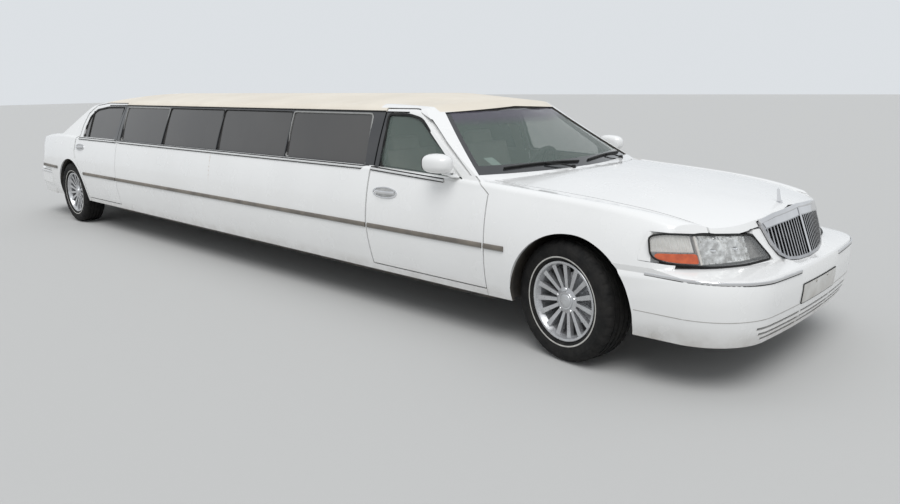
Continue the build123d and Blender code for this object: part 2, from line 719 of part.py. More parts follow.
def fascia_face(inset):
    """The front bumper's plan at one level."""
    middle, corner, bend, side, end = bumper_plan(True, inset)
    with BuildSketch() as plan:
        with BuildLine():
            ThreePointArc((corner[0], -corner[1]), middle, corner)
            ThreePointArc(corner, bend, side)
            Polyline(side, end, (end[0], -end[1]), (side[0], -side[1]))
            ThreePointArc((side[0], -side[1]), (bend[0], -bend[1]), (corner[0], -corner[1]))
        make_face()
    return plan.sketch.faces()[0]


def nose_plan():
    """The nose's plan at the top of the fascia, with the same corners as the bumper's."""
    x = F + 932 - 0.36 * (BUMPER_TOP - 720)
    with BuildSketch() as plan:
        with BuildLine():
            ThreePointArc((x - 60, -450), (x, 0), (x - 60, 450))
            ThreePointArc((x - 60, 450), (x - 195, 750), (x - 420, 938))
            Polyline((x - 420, 938), (F + 280, 957), (F + 280, -957), (x - 420, -938))
            ThreePointArc((x - 420, -938), (x - 195, -750), (x - 60, -450))
        make_face()
    return plan.sketch.faces()[0]


fascia_faces = [Plane.XY.offset(z).location * fascia_face(inset) for z, inset in FASCIA_LEVELS]
fascia_faces.append(Plane.XY.offset(BUMPER_TOP).location * nose_plan())
inside_faces = [Plane.XY.offset(z).location * fascia_face(inset) for z, inset in FASCIA_INSIDE]
with BuildPart() as fascia_inside:
    loft(inside_faces, ruled=True)
between_outline = [
    (200, 600), (540, 600), (540, 641), (364, 645), (472, 788), (452, 806), (300, 806), (200, 700),
]
between_panel = front_prism(between_outline, F + 500, F + 1200)
between_panel &= nose_cut(GRILLE_DEPTH) - nose_cut(0)
with BuildPart() as front_bumper:
    loft(fascia_faces, ruled=True)
    add(fascia_inside.part, mode=Mode.SUBTRACT)
    add(block(F + 200, F + 1200, -905, 905, 588, 700) - nose_cut(60), mode=Mode.SUBTRACT)
    add(block(F + 200, F + 400, -905, 905, 200, 592), mode=Mode.SUBTRACT)
    add(both_sides(between_panel))
    add(front_cut(grille_outline, 4, F + 500, F + 1200), mode=Mode.SUBTRACT)
    add(arch_cut(F, ARCH_R, -1200, 1200), mode=Mode.SUBTRACT)
    for z, half in SLOTS:
        with Locations((F + 1000, 0, z)):
            Box(400, 2 * (SLOT_WEB - 6), 14, mode=Mode.SUBTRACT)
        for side in (-1, 1):
            with Locations((F + 1000, side * (half + SLOT_WEB + 6) / 2, z)):
                Box(400, half - SLOT_WEB - 6, 14, mode=Mode.SUBTRACT)
    with Locations(*[Location((F + 1000, y, 500), (0, 90, 0)) for y in PLATE_HOLES]):
        Cylinder(PLATE_HOLE_R, 300, mode=Mode.SUBTRACT)
finish(front_bumper.part, "front_bumper")

# Rear bumper, open behind where the body's tail stands in it
rear_face_space = (lower_body() - tail_cut(-3)) & block(R - 1500, R - 640, -890, 890, 560, 700)
rear_shell = bumper_block(False, 0, 400, 570) + bumper_block(False, 0, 570, 600, 24)
rear_apron = bumper_block(False, 26, 290, 400, -8)
with BuildPart() as rear_bumper:
    add(rear_shell + rear_apron)
    add(bumper_block(False, BUMPER_T, 200, 578), mode=Mode.SUBTRACT)
    add(block(R - 680, R - 500, -890, 890, 200, 578), mode=Mode.SUBTRACT)
    add(block(R - 612 - SEAT_GAP, R - 400, -1200, 1200, 200, 700), mode=Mode.SUBTRACT)
    add(rear_face_space, mode=Mode.SUBTRACT)
    add(arch_cut(R, ARCH_R, -1200, 1200), mode=Mode.SUBTRACT)
    with Locations(*[Location((R - 1400, y, 490), (0, 90, 0)) for y in PLATE_HOLES]):
        Cylinder(PLATE_HOLE_R, 300, mode=Mode.SUBTRACT)
finish(rear_bumper.part, "rear_bumper")

# Grille: a shield-shaped frame with upright bars, leaning with the nose
GRILLE_BARS = 25
with BuildSketch() as grille_bars:
    with Locations(*[(370 * (2 * i / (GRILLE_BARS - 1) - 1), 740) for i in range(GRILLE_BARS)]):
        Rectangle(10, 260)
grille_face = outline_face(grille_outline, 0) - outline_face(grille_hole, 0)
grille_face += grille_bars.sketch & outline_face(grille_hole, 2)
with BuildPart() as grille:
    with BuildSketch(Plane.YZ.offset(F + 500)):
        add(grille_face)
    extrude(amount=700)
    add(nose_cut(GRILLE_DEPTH) - nose_cut(-GRILLE_PROUD), mode=Mode.INTERSECT)
finish(grille.part, "grille")

# Perimeter frame under the floor: rails in sections, each seated on the next, with cross-members
# between them. Columns of a rail: the inner and outer y of its front, of its rear, the x of both,
# and its bottom and top.
FRAME_LOW = 205
FRAME_TOP = FLOOR_Z - SEAT_GAP
TOW_BORE_R = 12
RAILS = [
    (390, 460, 390, 460, F + 930, F - 370, 290, 380),
    (390, 460, 390, 460, F - 370, F - 460, FRAME_LOW, 380),
    (390, 460, 650, 730, F - 460, F - 700, FRAME_LOW, FRAME_TOP),
    (650, 730, 650, 730, F - 700, R + 760, FRAME_LOW, FRAME_TOP),
    (650, 730, 470, 540, R + 760, R + 530, FRAME_LOW, FRAME_TOP),
    (470, 540, 470, 540, R + 530, R + 470, FRAME_LOW, 450),
    (470, 540, 470, 540, R + 470, R + 240, 385, 450),
    (470, 540, 470, 540, R + 240, R - 380, 412, REAR_FLOOR_Z - SEAT_GAP),
    (470, 540, 470, 540, R - 380, R - 435, 330, REAR_FLOOR_Z - SEAT_GAP),
    (470, 540, 470, 540, R - 435, R - 1327, 330, 400 - SEAT_GAP),
]

# Cross-members. Columns: middle x, half length, half width, bottom, top.
CROSS_MEMBERS = [
    (F + 630, 30, 390, 300, 370), (F, 60, 390, FRAME_LOW + 60, 320),
    (F - 300, 30, 390, FRAME_LOW + 60, 320), (F - 900, 45, 650, FRAME_LOW, 246),
    (F - 1900, 45, 650, FRAME_LOW, 246), (F - 2900, 45, 650, FRAME_LOW, 246),
    (F - 3900, 45, 650, FRAME_LOW, 246), (F - 4900, 45, 650, FRAME_LOW, 246),
    (R - 1220, 30, 470, 330, 390),
]

with BuildPart() as chassis_frame:
    for inner_1, outer_1, inner_2, outer_2, x1, x2, low, high in RAILS:
        corners = [(x1 - SEAT_GAP, inner_1), (x1 - SEAT_GAP, outer_1), (x2, outer_2), (x2, inner_2)]
        add(both_sides(plan_prism(corners, low, high)))
    for x, half, width, low, high in CROSS_MEMBERS:
        add(block(x - half, x + half, SEAT_GAP - width, width - SEAT_GAP, low, high))
    with Locations((F + 880, 425, 335), (F + 880, -425, 335)):
        Cylinder(TOW_BORE_R, 200, mode=Mode.SUBTRACT)
finish(chassis_frame.part, "chassis_frame")

# Engine as one block at its place, standing on the front cross-members
with BuildPart() as engine:
    add(block(F - 432, F + 300, -240, 240, 320 + SEAT_GAP, 820))
finish(engine.part, "engine")

with BuildPart() as fuel_tank:
    add(block(R - 1150, R - 480, -440, 440, 230, 400 - SEAT_GAP))
    fillet(fuel_tank.edges().filter_by(Axis.Z), radius=60)
finish(fuel_tank.part, "fuel_tank")

# Gearbox, propeller shaft and live rear axle
with BuildPart() as driveline:
    add(block(F - 1150, F - 432 - SEAT_GAP, -105, 105, 246 + SEAT_GAP, 420))
    with BuildSketch(Plane.YZ.offset(R + 120)):
        with Locations((0, AXLE_Z)):
            Circle(36)
    extrude(amount=WHEELBASE - 1250)
    with BuildSketch(Plane.XZ.offset(-REAR_TRACK / 2 + 88)):
        with Locations((R, AXLE_Z)):
            Circle(42)
    extrude(amount=REAR_TRACK - 176)
    with BuildSketch(Plane.XZ.offset(-REAR_TRACK / 2 - 48)):
        with Locations((R, AXLE_Z)):
            Circle(SPINDLE_R)
    extrude(amount=REAR_TRACK + 96)
    with Locations((R, 0, AXLE_Z)):
        Sphere(105)
    add(block(R + 60, R + 170, -60, 60, AXLE_Z - 60, AXLE_Z + 60))
finish(driveline.part, "driveline")

def tube(points, radius):
    """A round pipe through a list of points, with rounded joints."""
    pipe = None
    for start, end in zip(points, points[1:]):
        axis = Vector(*end) - Vector(*start)
        with BuildPart() as piece:
            with BuildSketch(Plane(origin=start, z_dir=axis)):
                Circle(radius)
            extrude(amount=axis.length)
            with Locations(end):
                Sphere(radius)
        pipe = piece.part if pipe is None else pipe + piece.part
    return pipe


# Exhaust: a pipe to a silencer on the right and a tail pipe over and behind the axle
with BuildPart() as exhaust:
    add(tube([(F - 370, -264.3, 450), (F - 440, -290, 273), (R + 1400, -290, 273)], 24))
    add(block(R + 950, R + 1450, -400, -190, 222, 290))
    add(tube([(R + 960, -300, 268), (R + 420, -330, 268), (R + 160, -360, 425),
              (R - 160, -380, 422), (R - 330, -592, 335), (R - 1290, -600, 300)], 22))
finish(exhaust.part, "exhaust")

# Front suspension: lower arms, springs and upper arms down to the kingpins
with BuildPart() as front_suspension:
    add(plan_prism([(F - 190, 462), (F + 190, 462), (F + 12, 728), (F - 12, 728)], 222, 246))
    add(block(F - 40, F + 40, 462, 560, 222, 300))
    with BuildSketch(Plane.XY.offset(240)):
        with Locations((F, 575)):
            Circle(46)
    extrude(amount=330)
    add(block(F - 60, F + 60, 490 + SEAT_GAP, 625, 560, 590))
    add(plan_prism([(F - 40, 600), (F + 40, 600), (F + 12, 728), (F - 12, 728)], 482, 500))
finish(both_sides(front_suspension.part), "front_suspension")

# Cabin fittings that show through the glass
with BuildPart() as dashboard:
    add(side_cut([(F - 545 - SEAT_GAP, 640), (F - 545 - SEAT_GAP, 940), (F - 760, 975), (F - 930, 955),
                  (F - 985, 880), (F - 940, 720), (F - 800, 640)], 0, 0, -826, 826))
    with Locations(Location((F - 1150, 380, 900), (0, -68, 0))):
        Torus(190, 15)
        Cylinder(16, 215, align=(Align.CENTER, Align.CENTER, Align.MAX))
        Box(360, 30, 12)
        Cylinder(55, 30)
finish(dashboard.part, "dashboard")


def seat(x, y, width, base_z, depth, back_height, facing=1):
    """A seat with a cushion and a leaning back, facing forward or rearward."""
    cushion_top = base_z + 190
    outline = [
        (x + facing * depth, base_z), (x + facing * depth, cushion_top - 25),
        (x + facing * (depth - 40), cushion_top), (x + facing * 150, cushion_top - 20),
        (x + facing * -20, cushion_top + back_height), (x + facing * -130, cushion_top + back_height),
        (x, base_z),
    ]
    if facing < 0:
        outline = outline[::-1]
    return side_cut(outline, 0, 0, y - width / 2, y + width / 2)


CABIN_FLOOR = FLOOR_Z + SHEET + SEAT_GAP
with BuildPart() as front_seats:
    add(both_sides(seat(F - 1720, 425, 510, CABIN_FLOOR + 60, 600, 560)))
    add(both_sides(block(F - 1640, F - 1200, 220, 580, CABIN_FLOOR, CABIN_FLOOR + 70)))
finish(front_seats.part, "front_seats")

with BuildPart() as rear_seats:
    add(seat(R + 130, 0, 1240, REAR_FLOOR_Z + SHEET + SEAT_GAP, 540, 500))
    add(block(R + 1500, F - 2700, 380, 830, CABIN_FLOOR, CABIN_FLOOR + 220))
    add(block(R + 1500, F - 2700, 740, 860, CABIN_FLOOR + 200, CABIN_FLOOR + 620))
finish(rear_seats.part, "rear_seats")

with BuildPart() as partition:
    add((hollow_lower + hollow_cabin) & block(F - 2120, F - 2090, -1000, 1000, CABIN_FLOOR, 1380))
    add(block(F - 2200, F - 2000, -TUNNEL_HALF - 1, TUNNEL_HALF + 1, 0, TUNNEL_TOP + 1),
        mode=Mode.SUBTRACT)
finish(partition.part, "partition")

# Door mirrors and handles
with BuildPart() as mirror_left:
    add(plan_prism([(F - 1015, 935), (F - 1005, 1050), (F - 930, 1060), (F - 820, 1040),
                    (F - 780, 950)], 1018, 1145))
    fillet(mirror_left.edges().filter_by(Axis.Z), radius=22)
    fillet(mirror_left.edges().group_by(Axis.Z)[-1], radius=34)
    fillet(mirror_left.edges().group_by(Axis.Z)[0], radius=16)
    add(block(F - 905, F - 765, 860, 975, 970, 1036))
    add(outer, mode=Mode.SUBTRACT)
finish(mirror_left.part, "mirror_left")
finish(mirror_left.part.mirror(Plane.XZ), "mirror_right")

HANDLES = [("front", F - 1450, 850), ("rear", R + 360, 905)]
for name, x, z in HANDLES:
    with BuildPart() as handle:
        add(block(x - 110, x + 110, 900, 985, z - 21, z + 21))
        fillet(handle.edges().filter_by(Axis.Y), radius=18)
        add(block(x - 78, x + 78, 890, 968, z - 30, z + 30), mode=Mode.SUBTRACT)
        add(outer_lower, mode=Mode.SUBTRACT)
    finish(handle.part, "handle_" + name + "_left")
    finish(handle.part.mirror(Plane.XZ), "handle_" + name + "_right")


# Wheels. Each is made about its own centre with the outer side at +Y, then put in its place.
def tyre_solid():
    """A tyre with a flat tread, sloping shoulders and two-step sidewalls."""
    half = TYRE_W / 2
    side = [(RIM_R - 14, 83.7), (RIM_R + 0.5, 86.7), (252, half - 9), (304, half), (TYRE_R, half - 34)]
    profile = [(r, -y) for r, y in side] + [(r, y) for r, y in reversed(side)]
    with BuildPart() as solid:
        with BuildSketch(Plane.XY):
            with BuildLine():
                Polyline(*profile, close=True)
            make_face()
        revolve(axis=Axis.Y)
    return solid.part


def wheel_solid():
    """A rim with its spokes, hub, cap and brake disc."""
    w = RIM_HALF_W
    seat_r = RIM_R - 14 - SEAT_GAP
    bore_r = SPINDLE_R + RUNNING_GAP
    barrel = [
        (BARREL_R, -w), (RIM_R, -w), (RIM_R, -w + 8), (seat_r, -84), (seat_r, 84),
        (RIM_R, w - 8), (RIM_R, w), (BARREL_R + 14, w), (BARREL_R, w - 30),
    ]
    hub = [
        (0, 74), (40, 74), (HUB_R, 62), (HUB_R, 30), (62, 10), (62, -38), (DISC_R, -38),
        (DISC_R, -38 - DISC_T), (bore_r, -38 - DISC_T), (bore_r, 50), (0, 50),
    ]
    with BuildPart() as solid:
        for profile in (barrel, hub):
            with BuildSketch(Plane.XY):
                with BuildLine():
                    Polyline(*profile, close=True)
                make_face()
            revolve(axis=Axis.Y)
    spoke = front_spoke()
    body = solid.part
    for i in range(SPOKES):
        body += spoke.rotate(Axis.Y, 360 * i / SPOKES)
    return body


def front_spoke():
    """One tapered, dished spoke from the hub to the rim."""
    with BuildPart() as solid:
        with BuildSketch(Plane.XY.offset(HUB_R - 8)):
            with Locations((0, 46)):
                Rectangle(19, 32)
        with BuildSketch(Plane.XY.offset(BARREL_R + 8)):
            with Locations((0, 70)):
                Rectangle(30, 26)
        loft()
    return solid.part


tyre = tyre_solid()
wheel = wheel_solid()
KNUCKLE_Z = (246 + SEAT_GAP, 482 - SEAT_GAP)
with BuildPart() as knuckle:
    with BuildSketch(Plane.XY.offset(KNUCKLE_Z[0])):
        with Locations((F, KINGPIN_Y)):
            Circle(22)
    extrude(amount=KNUCKLE_Z[1] - KNUCKLE_Z[0])
    with BuildSketch(Plane.XZ.offset(-KINGPIN_Y)):
        with Locations((F, AXLE_Z)):
            Circle(SPINDLE_R)
    extrude(amount=-(FRONT_TRACK / 2 + 48 - KINGPIN_Y))

for side, name in ((1, "left"), (-1, "right")):
    kingpin = Axis((F, side * KINGPIN_Y, 0), (0, 0, 1))
    facing = 0 if side > 0 else 180
    place = Location((F, side * FRONT_TRACK / 2, AXLE_Z), (0, 0, facing))
    carrier_part = knuckle.part if side > 0 else knuckle.part.mirror(Plane.XZ)
    finish(carrier_part.rotate(kingpin, -PARKED_STEER), "knuckle_" + name)
    finish((place * tyre).rotate(kingpin, -PARKED_STEER), "tyre_front_" + name)
    finish((place * wheel).rotate(kingpin, -PARKED_STEER), "wheel_front_" + name)
    place = Location((R, side * REAR_TRACK / 2, AXLE_Z), (0, 0, facing))
    finish(place * tyre, "tyre_rear_" + name)
    finish(place * wheel, "wheel_rear_" + name)
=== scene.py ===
"""Looks for the stretched luxury sedan: materials, trim, lamps, tread, seats, stage, camera.

Metres. +X points forward, +Y to the car's left, +Z up.
"""
import bpy
import bmesh
import functools
import json
import math
from mathutils import Vector, Matrix
from mathutils.bvhtree import BVHTree


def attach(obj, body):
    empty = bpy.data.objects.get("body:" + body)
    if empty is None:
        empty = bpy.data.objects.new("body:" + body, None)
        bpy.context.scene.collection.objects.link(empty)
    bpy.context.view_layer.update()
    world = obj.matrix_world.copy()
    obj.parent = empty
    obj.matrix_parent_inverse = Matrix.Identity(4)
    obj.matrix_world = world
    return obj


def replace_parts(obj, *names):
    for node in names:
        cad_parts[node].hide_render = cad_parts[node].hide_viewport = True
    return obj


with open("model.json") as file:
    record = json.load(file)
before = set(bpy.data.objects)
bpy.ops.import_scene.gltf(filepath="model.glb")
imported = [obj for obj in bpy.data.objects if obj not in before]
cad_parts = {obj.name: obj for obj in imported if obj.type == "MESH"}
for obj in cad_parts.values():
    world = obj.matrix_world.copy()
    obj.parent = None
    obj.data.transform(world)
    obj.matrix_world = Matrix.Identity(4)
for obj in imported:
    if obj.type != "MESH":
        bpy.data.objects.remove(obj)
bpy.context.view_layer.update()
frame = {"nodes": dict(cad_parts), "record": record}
nodes = frame["nodes"]

# Axles and sides of the car
F = 3.7175
R = -3.3365
AXLE_Z = 0.352
ENDS = {"front": F, "rear": R}
SIDES = {"left": 1, "right": -1}
STEER = math.radians(9)

# Heights and widths where the body changes its finish
GUTTER_Z = 1.3745
PANE_FOOT_Z = 1.0135
ROOF_EDGE_Y = 0.634


# Node helpers

def add(tree, kind, inputs=(), **settings):
    """A node with its settings, and with inputs from plain values or other nodes."""
    node = tree.nodes.new(kind)
    for name, value in settings.items():
        setattr(node, name, value)
    for key, value in dict(inputs).items():
        if isinstance(value, bpy.types.NodeSocket):
            tree.links.new(value, node.inputs[key])
        else:
            node.inputs[key].default_value = value
    return node


def calc(tree, operation, *values):
    """The result of a calculation on other nodes' outputs and plain numbers."""
    return add(tree, "ShaderNodeMath", enumerate(values), operation=operation).outputs["Value"]


def coordinate(tree, axis, kind="Object"):
    """One coordinate of a point, or of its normal, in the object's own space."""
    place = tree.nodes.new("ShaderNodeTexCoord").outputs[kind]
    return add(tree, "ShaderNodeSeparateXYZ", {"Vector": place}).outputs[axis]


def noise(tree, scale, detail):
    """Noise in the object's own space, as a value."""
    place = tree.nodes.new("ShaderNodeTexCoord").outputs["Object"]
    return add(tree, "ShaderNodeTexNoise",
               {"Vector": place, "Scale": scale, "Detail": detail}).outputs["Fac"]


def spread(tree, value, low, high, start=0.35, end=0.65):
    """A value carried from one range to another."""
    return add(tree, "ShaderNodeMapRange", {"Value": value, "From Min": start, "From Max": end,
                                            "To Min": low, "To Max": high}).outputs["Result"]


def blend(tree, factor, first, second):
    """A mix of two colours, each plain or from another node."""
    first, second = ((*c, 1.0) if isinstance(c, tuple) else c for c in (first, second))
    return add(tree, "ShaderNodeMix", {0: factor, 6: first, 7: second}, data_type="RGBA").outputs[2]


def over(tree, value, limit, soft=0.0008):
    """1 where a value is over a limit and 0 where it is under it."""
    return spread(tree, value, 0.0, 1.0, limit - soft, limit + soft)


def under(tree, value, limit, soft=0.0008):
    """1 where a value is under a limit and 0 where it is over it."""
    return spread(tree, value, 1.0, 0.0, limit - soft, limit + soft)


def all_of(tree, *masks):
    """The product of masks."""
    return functools.reduce(lambda a, b: calc(tree, "MULTIPLY", a, b), masks)


def any_of(tree, *masks):
    """The largest of masks."""
    return functools.reduce(lambda a, b: calc(tree, "MAXIMUM", a, b), masks)


def from_middle(tree):
    """The distance from the car's middle plane."""
    return calc(tree, "ABSOLUTE", coordinate(tree, "Y"))


def inward(tree):
    """1 on faces that look towards the car's middle plane."""
    turned = calc(tree, "MULTIPLY", coordinate(tree, "Y"), coordinate(tree, "Y", "Normal"))
    return under(tree, turned, -0.12, 0.01)


def downward(tree):
    """1 on faces that look down."""
    return under(tree, coordinate(tree, "Z", "Normal"), -0.3, 0.02)


def zone(*masks, x=(None, None), z=(None, None), y=(None, None)):
    """A mask between limits along the car, in height and from its middle plane, and in others."""
    def mask(tree):
        parts = [one(tree) for one in masks]
        for (low, high), measure in ((x, lambda: coordinate(tree, "X")),
                                     (z, lambda: coordinate(tree, "Z")),
                                     (y, lambda: from_middle(tree))):
            if low is not None:
                parts.append(over(tree, measure(), low))
            if high is not None:
                parts.append(under(tree, measure(), high))
        return all_of(tree, *parts)
    return mask


# Finishes

DUST = (0.30, 0.26, 0.21)


def look(colour, other, rough, scale, rough_spread=0.05, metal=0.0, coat=0.0, grain=0.0,
         grain_scale=400.0, grain_depth=0.0005, dirt_top=0.0, alpha=1.0, specular=0.5, sheen=0.0):
    """A finish: colour and roughness that vary, grain, and road dirt up to a height."""
    def shade(tree):
        shader = tree.nodes.new("ShaderNodeBsdfPrincipled")
        base = blend(tree, spread(tree, noise(tree, scale, 4.0), 0.0, 1.0), colour, other)
        if dirt_top:
            low = spread(tree, coordinate(tree, "Z"), 1.0, 0.0, 0.22, dirt_top)
            patchy = spread(tree, noise(tree, 9.0, 8.0), 0.1, 0.75, 0.3, 0.7)
            base = blend(tree, all_of(tree, low, patchy), base, DUST)
        roughness = spread(tree, noise(tree, scale * 3.1, 5.0), rough - rough_spread,
                           rough + rough_spread)
        tree.links.new(base, shader.inputs["Base Color"])
        tree.links.new(roughness, shader.inputs["Roughness"])
        shader.inputs["Metallic"].default_value = metal
        shader.inputs["Coat Weight"].default_value = coat
        shader.inputs["Coat Roughness"].default_value = 0.06
        shader.inputs["Specular IOR Level"].default_value = specular
        shader.inputs["Sheen Weight"].default_value = sheen
        shader.inputs["Alpha"].default_value = alpha
        if grain:
            bump = add(tree, "ShaderNodeBump", {"Strength": grain, "Distance": grain_depth,
                                                "Height": noise(tree, grain_scale, 2.0)})
            tree.links.new(bump.outputs["Normal"], shader.inputs["Normal"])
        return shader.outputs["BSDF"]
    return shade


def surface(name, first, *zones):
    """A material with one finish, and others where their masks are 1."""
    material = bpy.data.materials.new(name)
    material.use_nodes = True
    tree = material.node_tree
    tree.nodes.clear()
    result = first(tree)
    for other, mask in zones:
        mix = add(tree, "ShaderNodeMixShader", {0: mask(tree), 1: result, 2: other(tree)})
        result = mix.outputs["Shader"]
    add(tree, "ShaderNodeOutputMaterial", {"Surface": result})
    return material


def make_skin(slot, name, *values, **more):
    """A material together with the slot of the pieces that wear it."""
    return surface(name, look(*values, **more)), slot


WHITE = look((0.83, 0.83, 0.82), (0.80, 0.80, 0.79), 0.24, 1.6, coat=0.7, grain=0.02,
             grain_scale=900.0, grain_depth=0.0002, dirt_top=0.38)
VINYL = look((0.75, 0.695, 0.60), (0.69, 0.635, 0.545), 0.55, 2.2, 0.08, grain=0.5,
             grain_scale=380.0, grain_depth=0.0008)
GLOSS_BLACK = look((0.022, 0.023, 0.025), (0.03, 0.03, 0.032), 0.16, 5.0, coat=0.5)
INNER_TRIM = look((0.34, 0.31, 0.265), (0.29, 0.265, 0.225), 0.62, 6.0, grain=0.4, grain_scale=300.0)
HEADLINER = look((0.50, 0.47, 0.42), (0.45, 0.425, 0.38), 0.9, 7.0, grain=0.6, grain_scale=500.0,
                 sheen=0.2)
CARPET = look((0.085, 0.078, 0.070), (0.055, 0.05, 0.046), 0.95, 30.0, grain=0.9,
              grain_scale=600.0, grain_depth=0.003, sheen=0.3)
CHASSIS = look((0.035, 0.034, 0.033), (0.085, 0.075, 0.062), 0.62, 7.0, 0.12, grain=0.3,
               grain_scale=150.0)
DARK_TRIM = look((0.045, 0.044, 0.044), (0.060, 0.058, 0.056), 0.5, 12.0, 0.08, grain=0.3,
                 grain_scale=500.0)
GREEN_GLASS = look((0.15, 0.20, 0.18), (0.18, 0.23, 0.205), 0.05, 0.8, 0.02, alpha=0.34,
                   specular=0.8)
TINTED_GLASS = look((0.050, 0.048, 0.047), (0.066, 0.063, 0.060), 0.10, 0.9, 0.03, coat=0.3)
SHADE = look((0.085, 0.08, 0.105), (0.11, 0.10, 0.13), 0.06, 0.9, 0.02, alpha=0.72, specular=0.8)
RUST = look((0.42, 0.27, 0.15), (0.34, 0.20, 0.10), 0.7, 30.0)

paint = surface("white_paint", WHITE), "paint"
trim = surface("dark_plastic", DARK_TRIM), "trim"
headliner = surface("headliner", HEADLINER), "seat"
lens = make_skin("lamp", "clear_lens", (0.80, 0.82, 0.82), (0.74, 0.76, 0.76), 0.06, 6.0, 0.03,
                 alpha=0.10, specular=0.8)
red_lens = make_skin("red_lamp", "red_lens", (0.30, 0.010, 0.010), (0.20, 0.006, 0.006), 0.12, 5.0,
                     0.04, coat=0.5)
chrome = make_skin("chrome", "chrome_plate", (0.78, 0.78, 0.79), (0.70, 0.70, 0.71), 0.10, 8.0,
                   0.04, metal=1.0)
alloy = make_skin("wheel_metal", "wheel_alloy", (0.60, 0.61, 0.62), (0.50, 0.50, 0.51), 0.32, 14.0,
                  0.06, metal=0.75, coat=0.4)
tread = make_skin("tyre", "tyre_rubber", (0.009, 0.009, 0.009), (0.018, 0.017, 0.016), 0.82, 16.0,
                  0.08, grain=0.4, grain_scale=300.0, specular=0.25)
white_ring = make_skin("tyre", "tyre_ring", (0.55, 0.54, 0.51), (0.42, 0.41, 0.38), 0.7, 30.0)
steel = make_skin("steel", "dull_steel", (0.36, 0.35, 0.33), (0.28, 0.245, 0.20), 0.42, 9.0, 0.1,
                  metal=0.8)
leather = make_skin("seat", "pale_leather", (0.52, 0.49, 0.43), (0.46, 0.43, 0.37), 0.48, 5.0, 0.06,
                    grain=0.5, grain_scale=420.0, sheen=0.1)
dark_leather = make_skin("seat", "dark_leather", (0.075, 0.068, 0.062), (0.05, 0.046, 0.042), 0.45,
                         5.0, 0.06, grain=0.5, grain_scale=420.0)
moulding = make_skin("trim", "moulding_rubber", (0.125, 0.112, 0.098), (0.095, 0.086, 0.076), 0.5,
                     6.0, grain=0.15, grain_scale=300.0, dirt_top=1.4)
rubber = make_skin("trim", "seal_rubber", (0.010, 0.010, 0.010), (0.018, 0.018, 0.017), 0.6, 20.0,
                   specular=0.25, grain=0.2, grain_scale=300.0)
pane_grey = make_skin("trim", "frame_grey", (0.33, 0.33, 0.32), (0.27, 0.27, 0.26), 0.4, 15.0,
                      metal=0.4)
# Mid grey on the white car: painted shade of the recess behind each door handle
shaded_handle_cup = make_skin("paint", "shaded_handle_cup", (0.42, 0.42, 0.41), (0.52, 0.52, 0.51), 0.3, 30.0,
                       coat=0.4)
belt_bright = make_skin("chrome", "belt_bright", (0.74, 0.74, 0.73), (0.66, 0.66, 0.65), 0.3, 6.0,
                        metal=0.35)
mirror_glass = make_skin("chrome", "mirror_glass", (0.72, 0.74, 0.76), (0.68, 0.70, 0.72), 0.04,
                         5.0, 0.01, metal=1.0)
lamp_shell = make_skin("chrome", "lamp_shell", (0.40, 0.39, 0.36), (0.30, 0.29, 0.27), 0.3, 12.0,
                       metal=0.6)
facets = make_skin("chrome", "lamp_facets", (0.95, 0.95, 0.93), (0.40, 0.39, 0.37), 0.10, 34.0,
                   0.06, metal=0.9)
lamp_dark = make_skin("trim", "lamp_dark", (0.30, 0.29, 0.27), (0.14, 0.13, 0.12), 0.25, 18.0,
                      metal=0.5)
lamp_pale = make_skin("chrome", "lamp_pale", (0.62, 0.60, 0.56), (0.52, 0.50, 0.46), 0.25, 18.0)
amber_lens = make_skin("red_lamp", "amber_lens", (0.58, 0.105, 0.028), (0.44, 0.07, 0.02), 0.15,
                       30.0, coat=0.6)
seam_grey = make_skin("trim", "seam_grey", (0.38, 0.37, 0.35), (0.32, 0.31, 0.29), 0.6, 20.0)
plate_white = make_skin("paint", "plate_white", (0.70, 0.70, 0.68), (0.65, 0.65, 0.63), 0.4, 10.0,
                        dirt_top=0.8)
patch_green = make_skin("paint", "patch_green", (0.50, 0.62, 0.56), (0.44, 0.56, 0.50), 0.5, 40.0)

finishes = {
    "paint": paint[0], "vinyl": surface("cream_vinyl", VINYL), "lamp": lens[0],
    "dark_glass": surface("tinted_glass", TINTED_GLASS), "red_lamp": red_lens[0],
    "clear_glass": surface("green_glass", GREEN_GLASS), "chrome": chrome[0],
    "wheel_metal": alloy[0], "tyre": tread[0], "frame_metal": surface("chassis_black", CHASSIS),
    "cast": surface("cast_metal", look((0.15, 0.145, 0.14), (0.20, 0.165, 0.13), 0.6, 12.0, 0.1,
                                       metal=0.5, grain=0.6, grain_scale=260.0)),
    "steel": steel[0], "trim": trim[0], "seat": leather[0],
}
for entry in frame["record"]["subparts"]:
    node = nodes[entry["node"]]
    node.data.materials.clear()
    node.data.materials.append(finishes[entry["material_slot"]])


# Zones of the body panels

def frit(tree):
    """The black border printed round the windscreen, and its broad foot."""
    z = coordinate(tree, "Z")
    slant = calc(tree, "MULTIPLY_ADD", z, 0.7056, from_middle(tree))
    return any_of(tree, over(tree, slant, 1.536), under(tree, z, 1.058), over(tree, z, 1.372))


def shade_band(tree):
    """The tinted band across a screen's top."""
    return spread(tree, coordinate(tree, "Z"), 0.0, 1.0, 1.285, 1.335)


def beside_boot(tree):
    """The rear quarters apart from the edge beside the boot lid."""
    return any_of(tree, under(tree, coordinate(tree, "Z"), 0.86),
                  over(tree, coordinate(tree, "X"), R - 0.42))


def near_axles(tree):
    """1 within the wheel arches' own radius of an axle."""
    masks = []
    for axle in (F, R):
        squares = []
        for axis, centre in (("X", axle + 0.030), ("Z", AXLE_Z)):
            away = calc(tree, "SUBTRACT", coordinate(tree, axis), centre)
            squares.append(calc(tree, "MULTIPLY", away, away))
        masks.append(under(tree, calc(tree, "ADD", *squares), 0.4035 ** 2, 0.0004))
    return any_of(tree, *masks)


def floor_top(tree):
    """The floor's upper faces."""
    return any_of(tree, over(tree, coordinate(tree, "Z", "Normal"), 0.5, 0.02),
                  over(tree, coordinate(tree, "Z"), 0.3215))


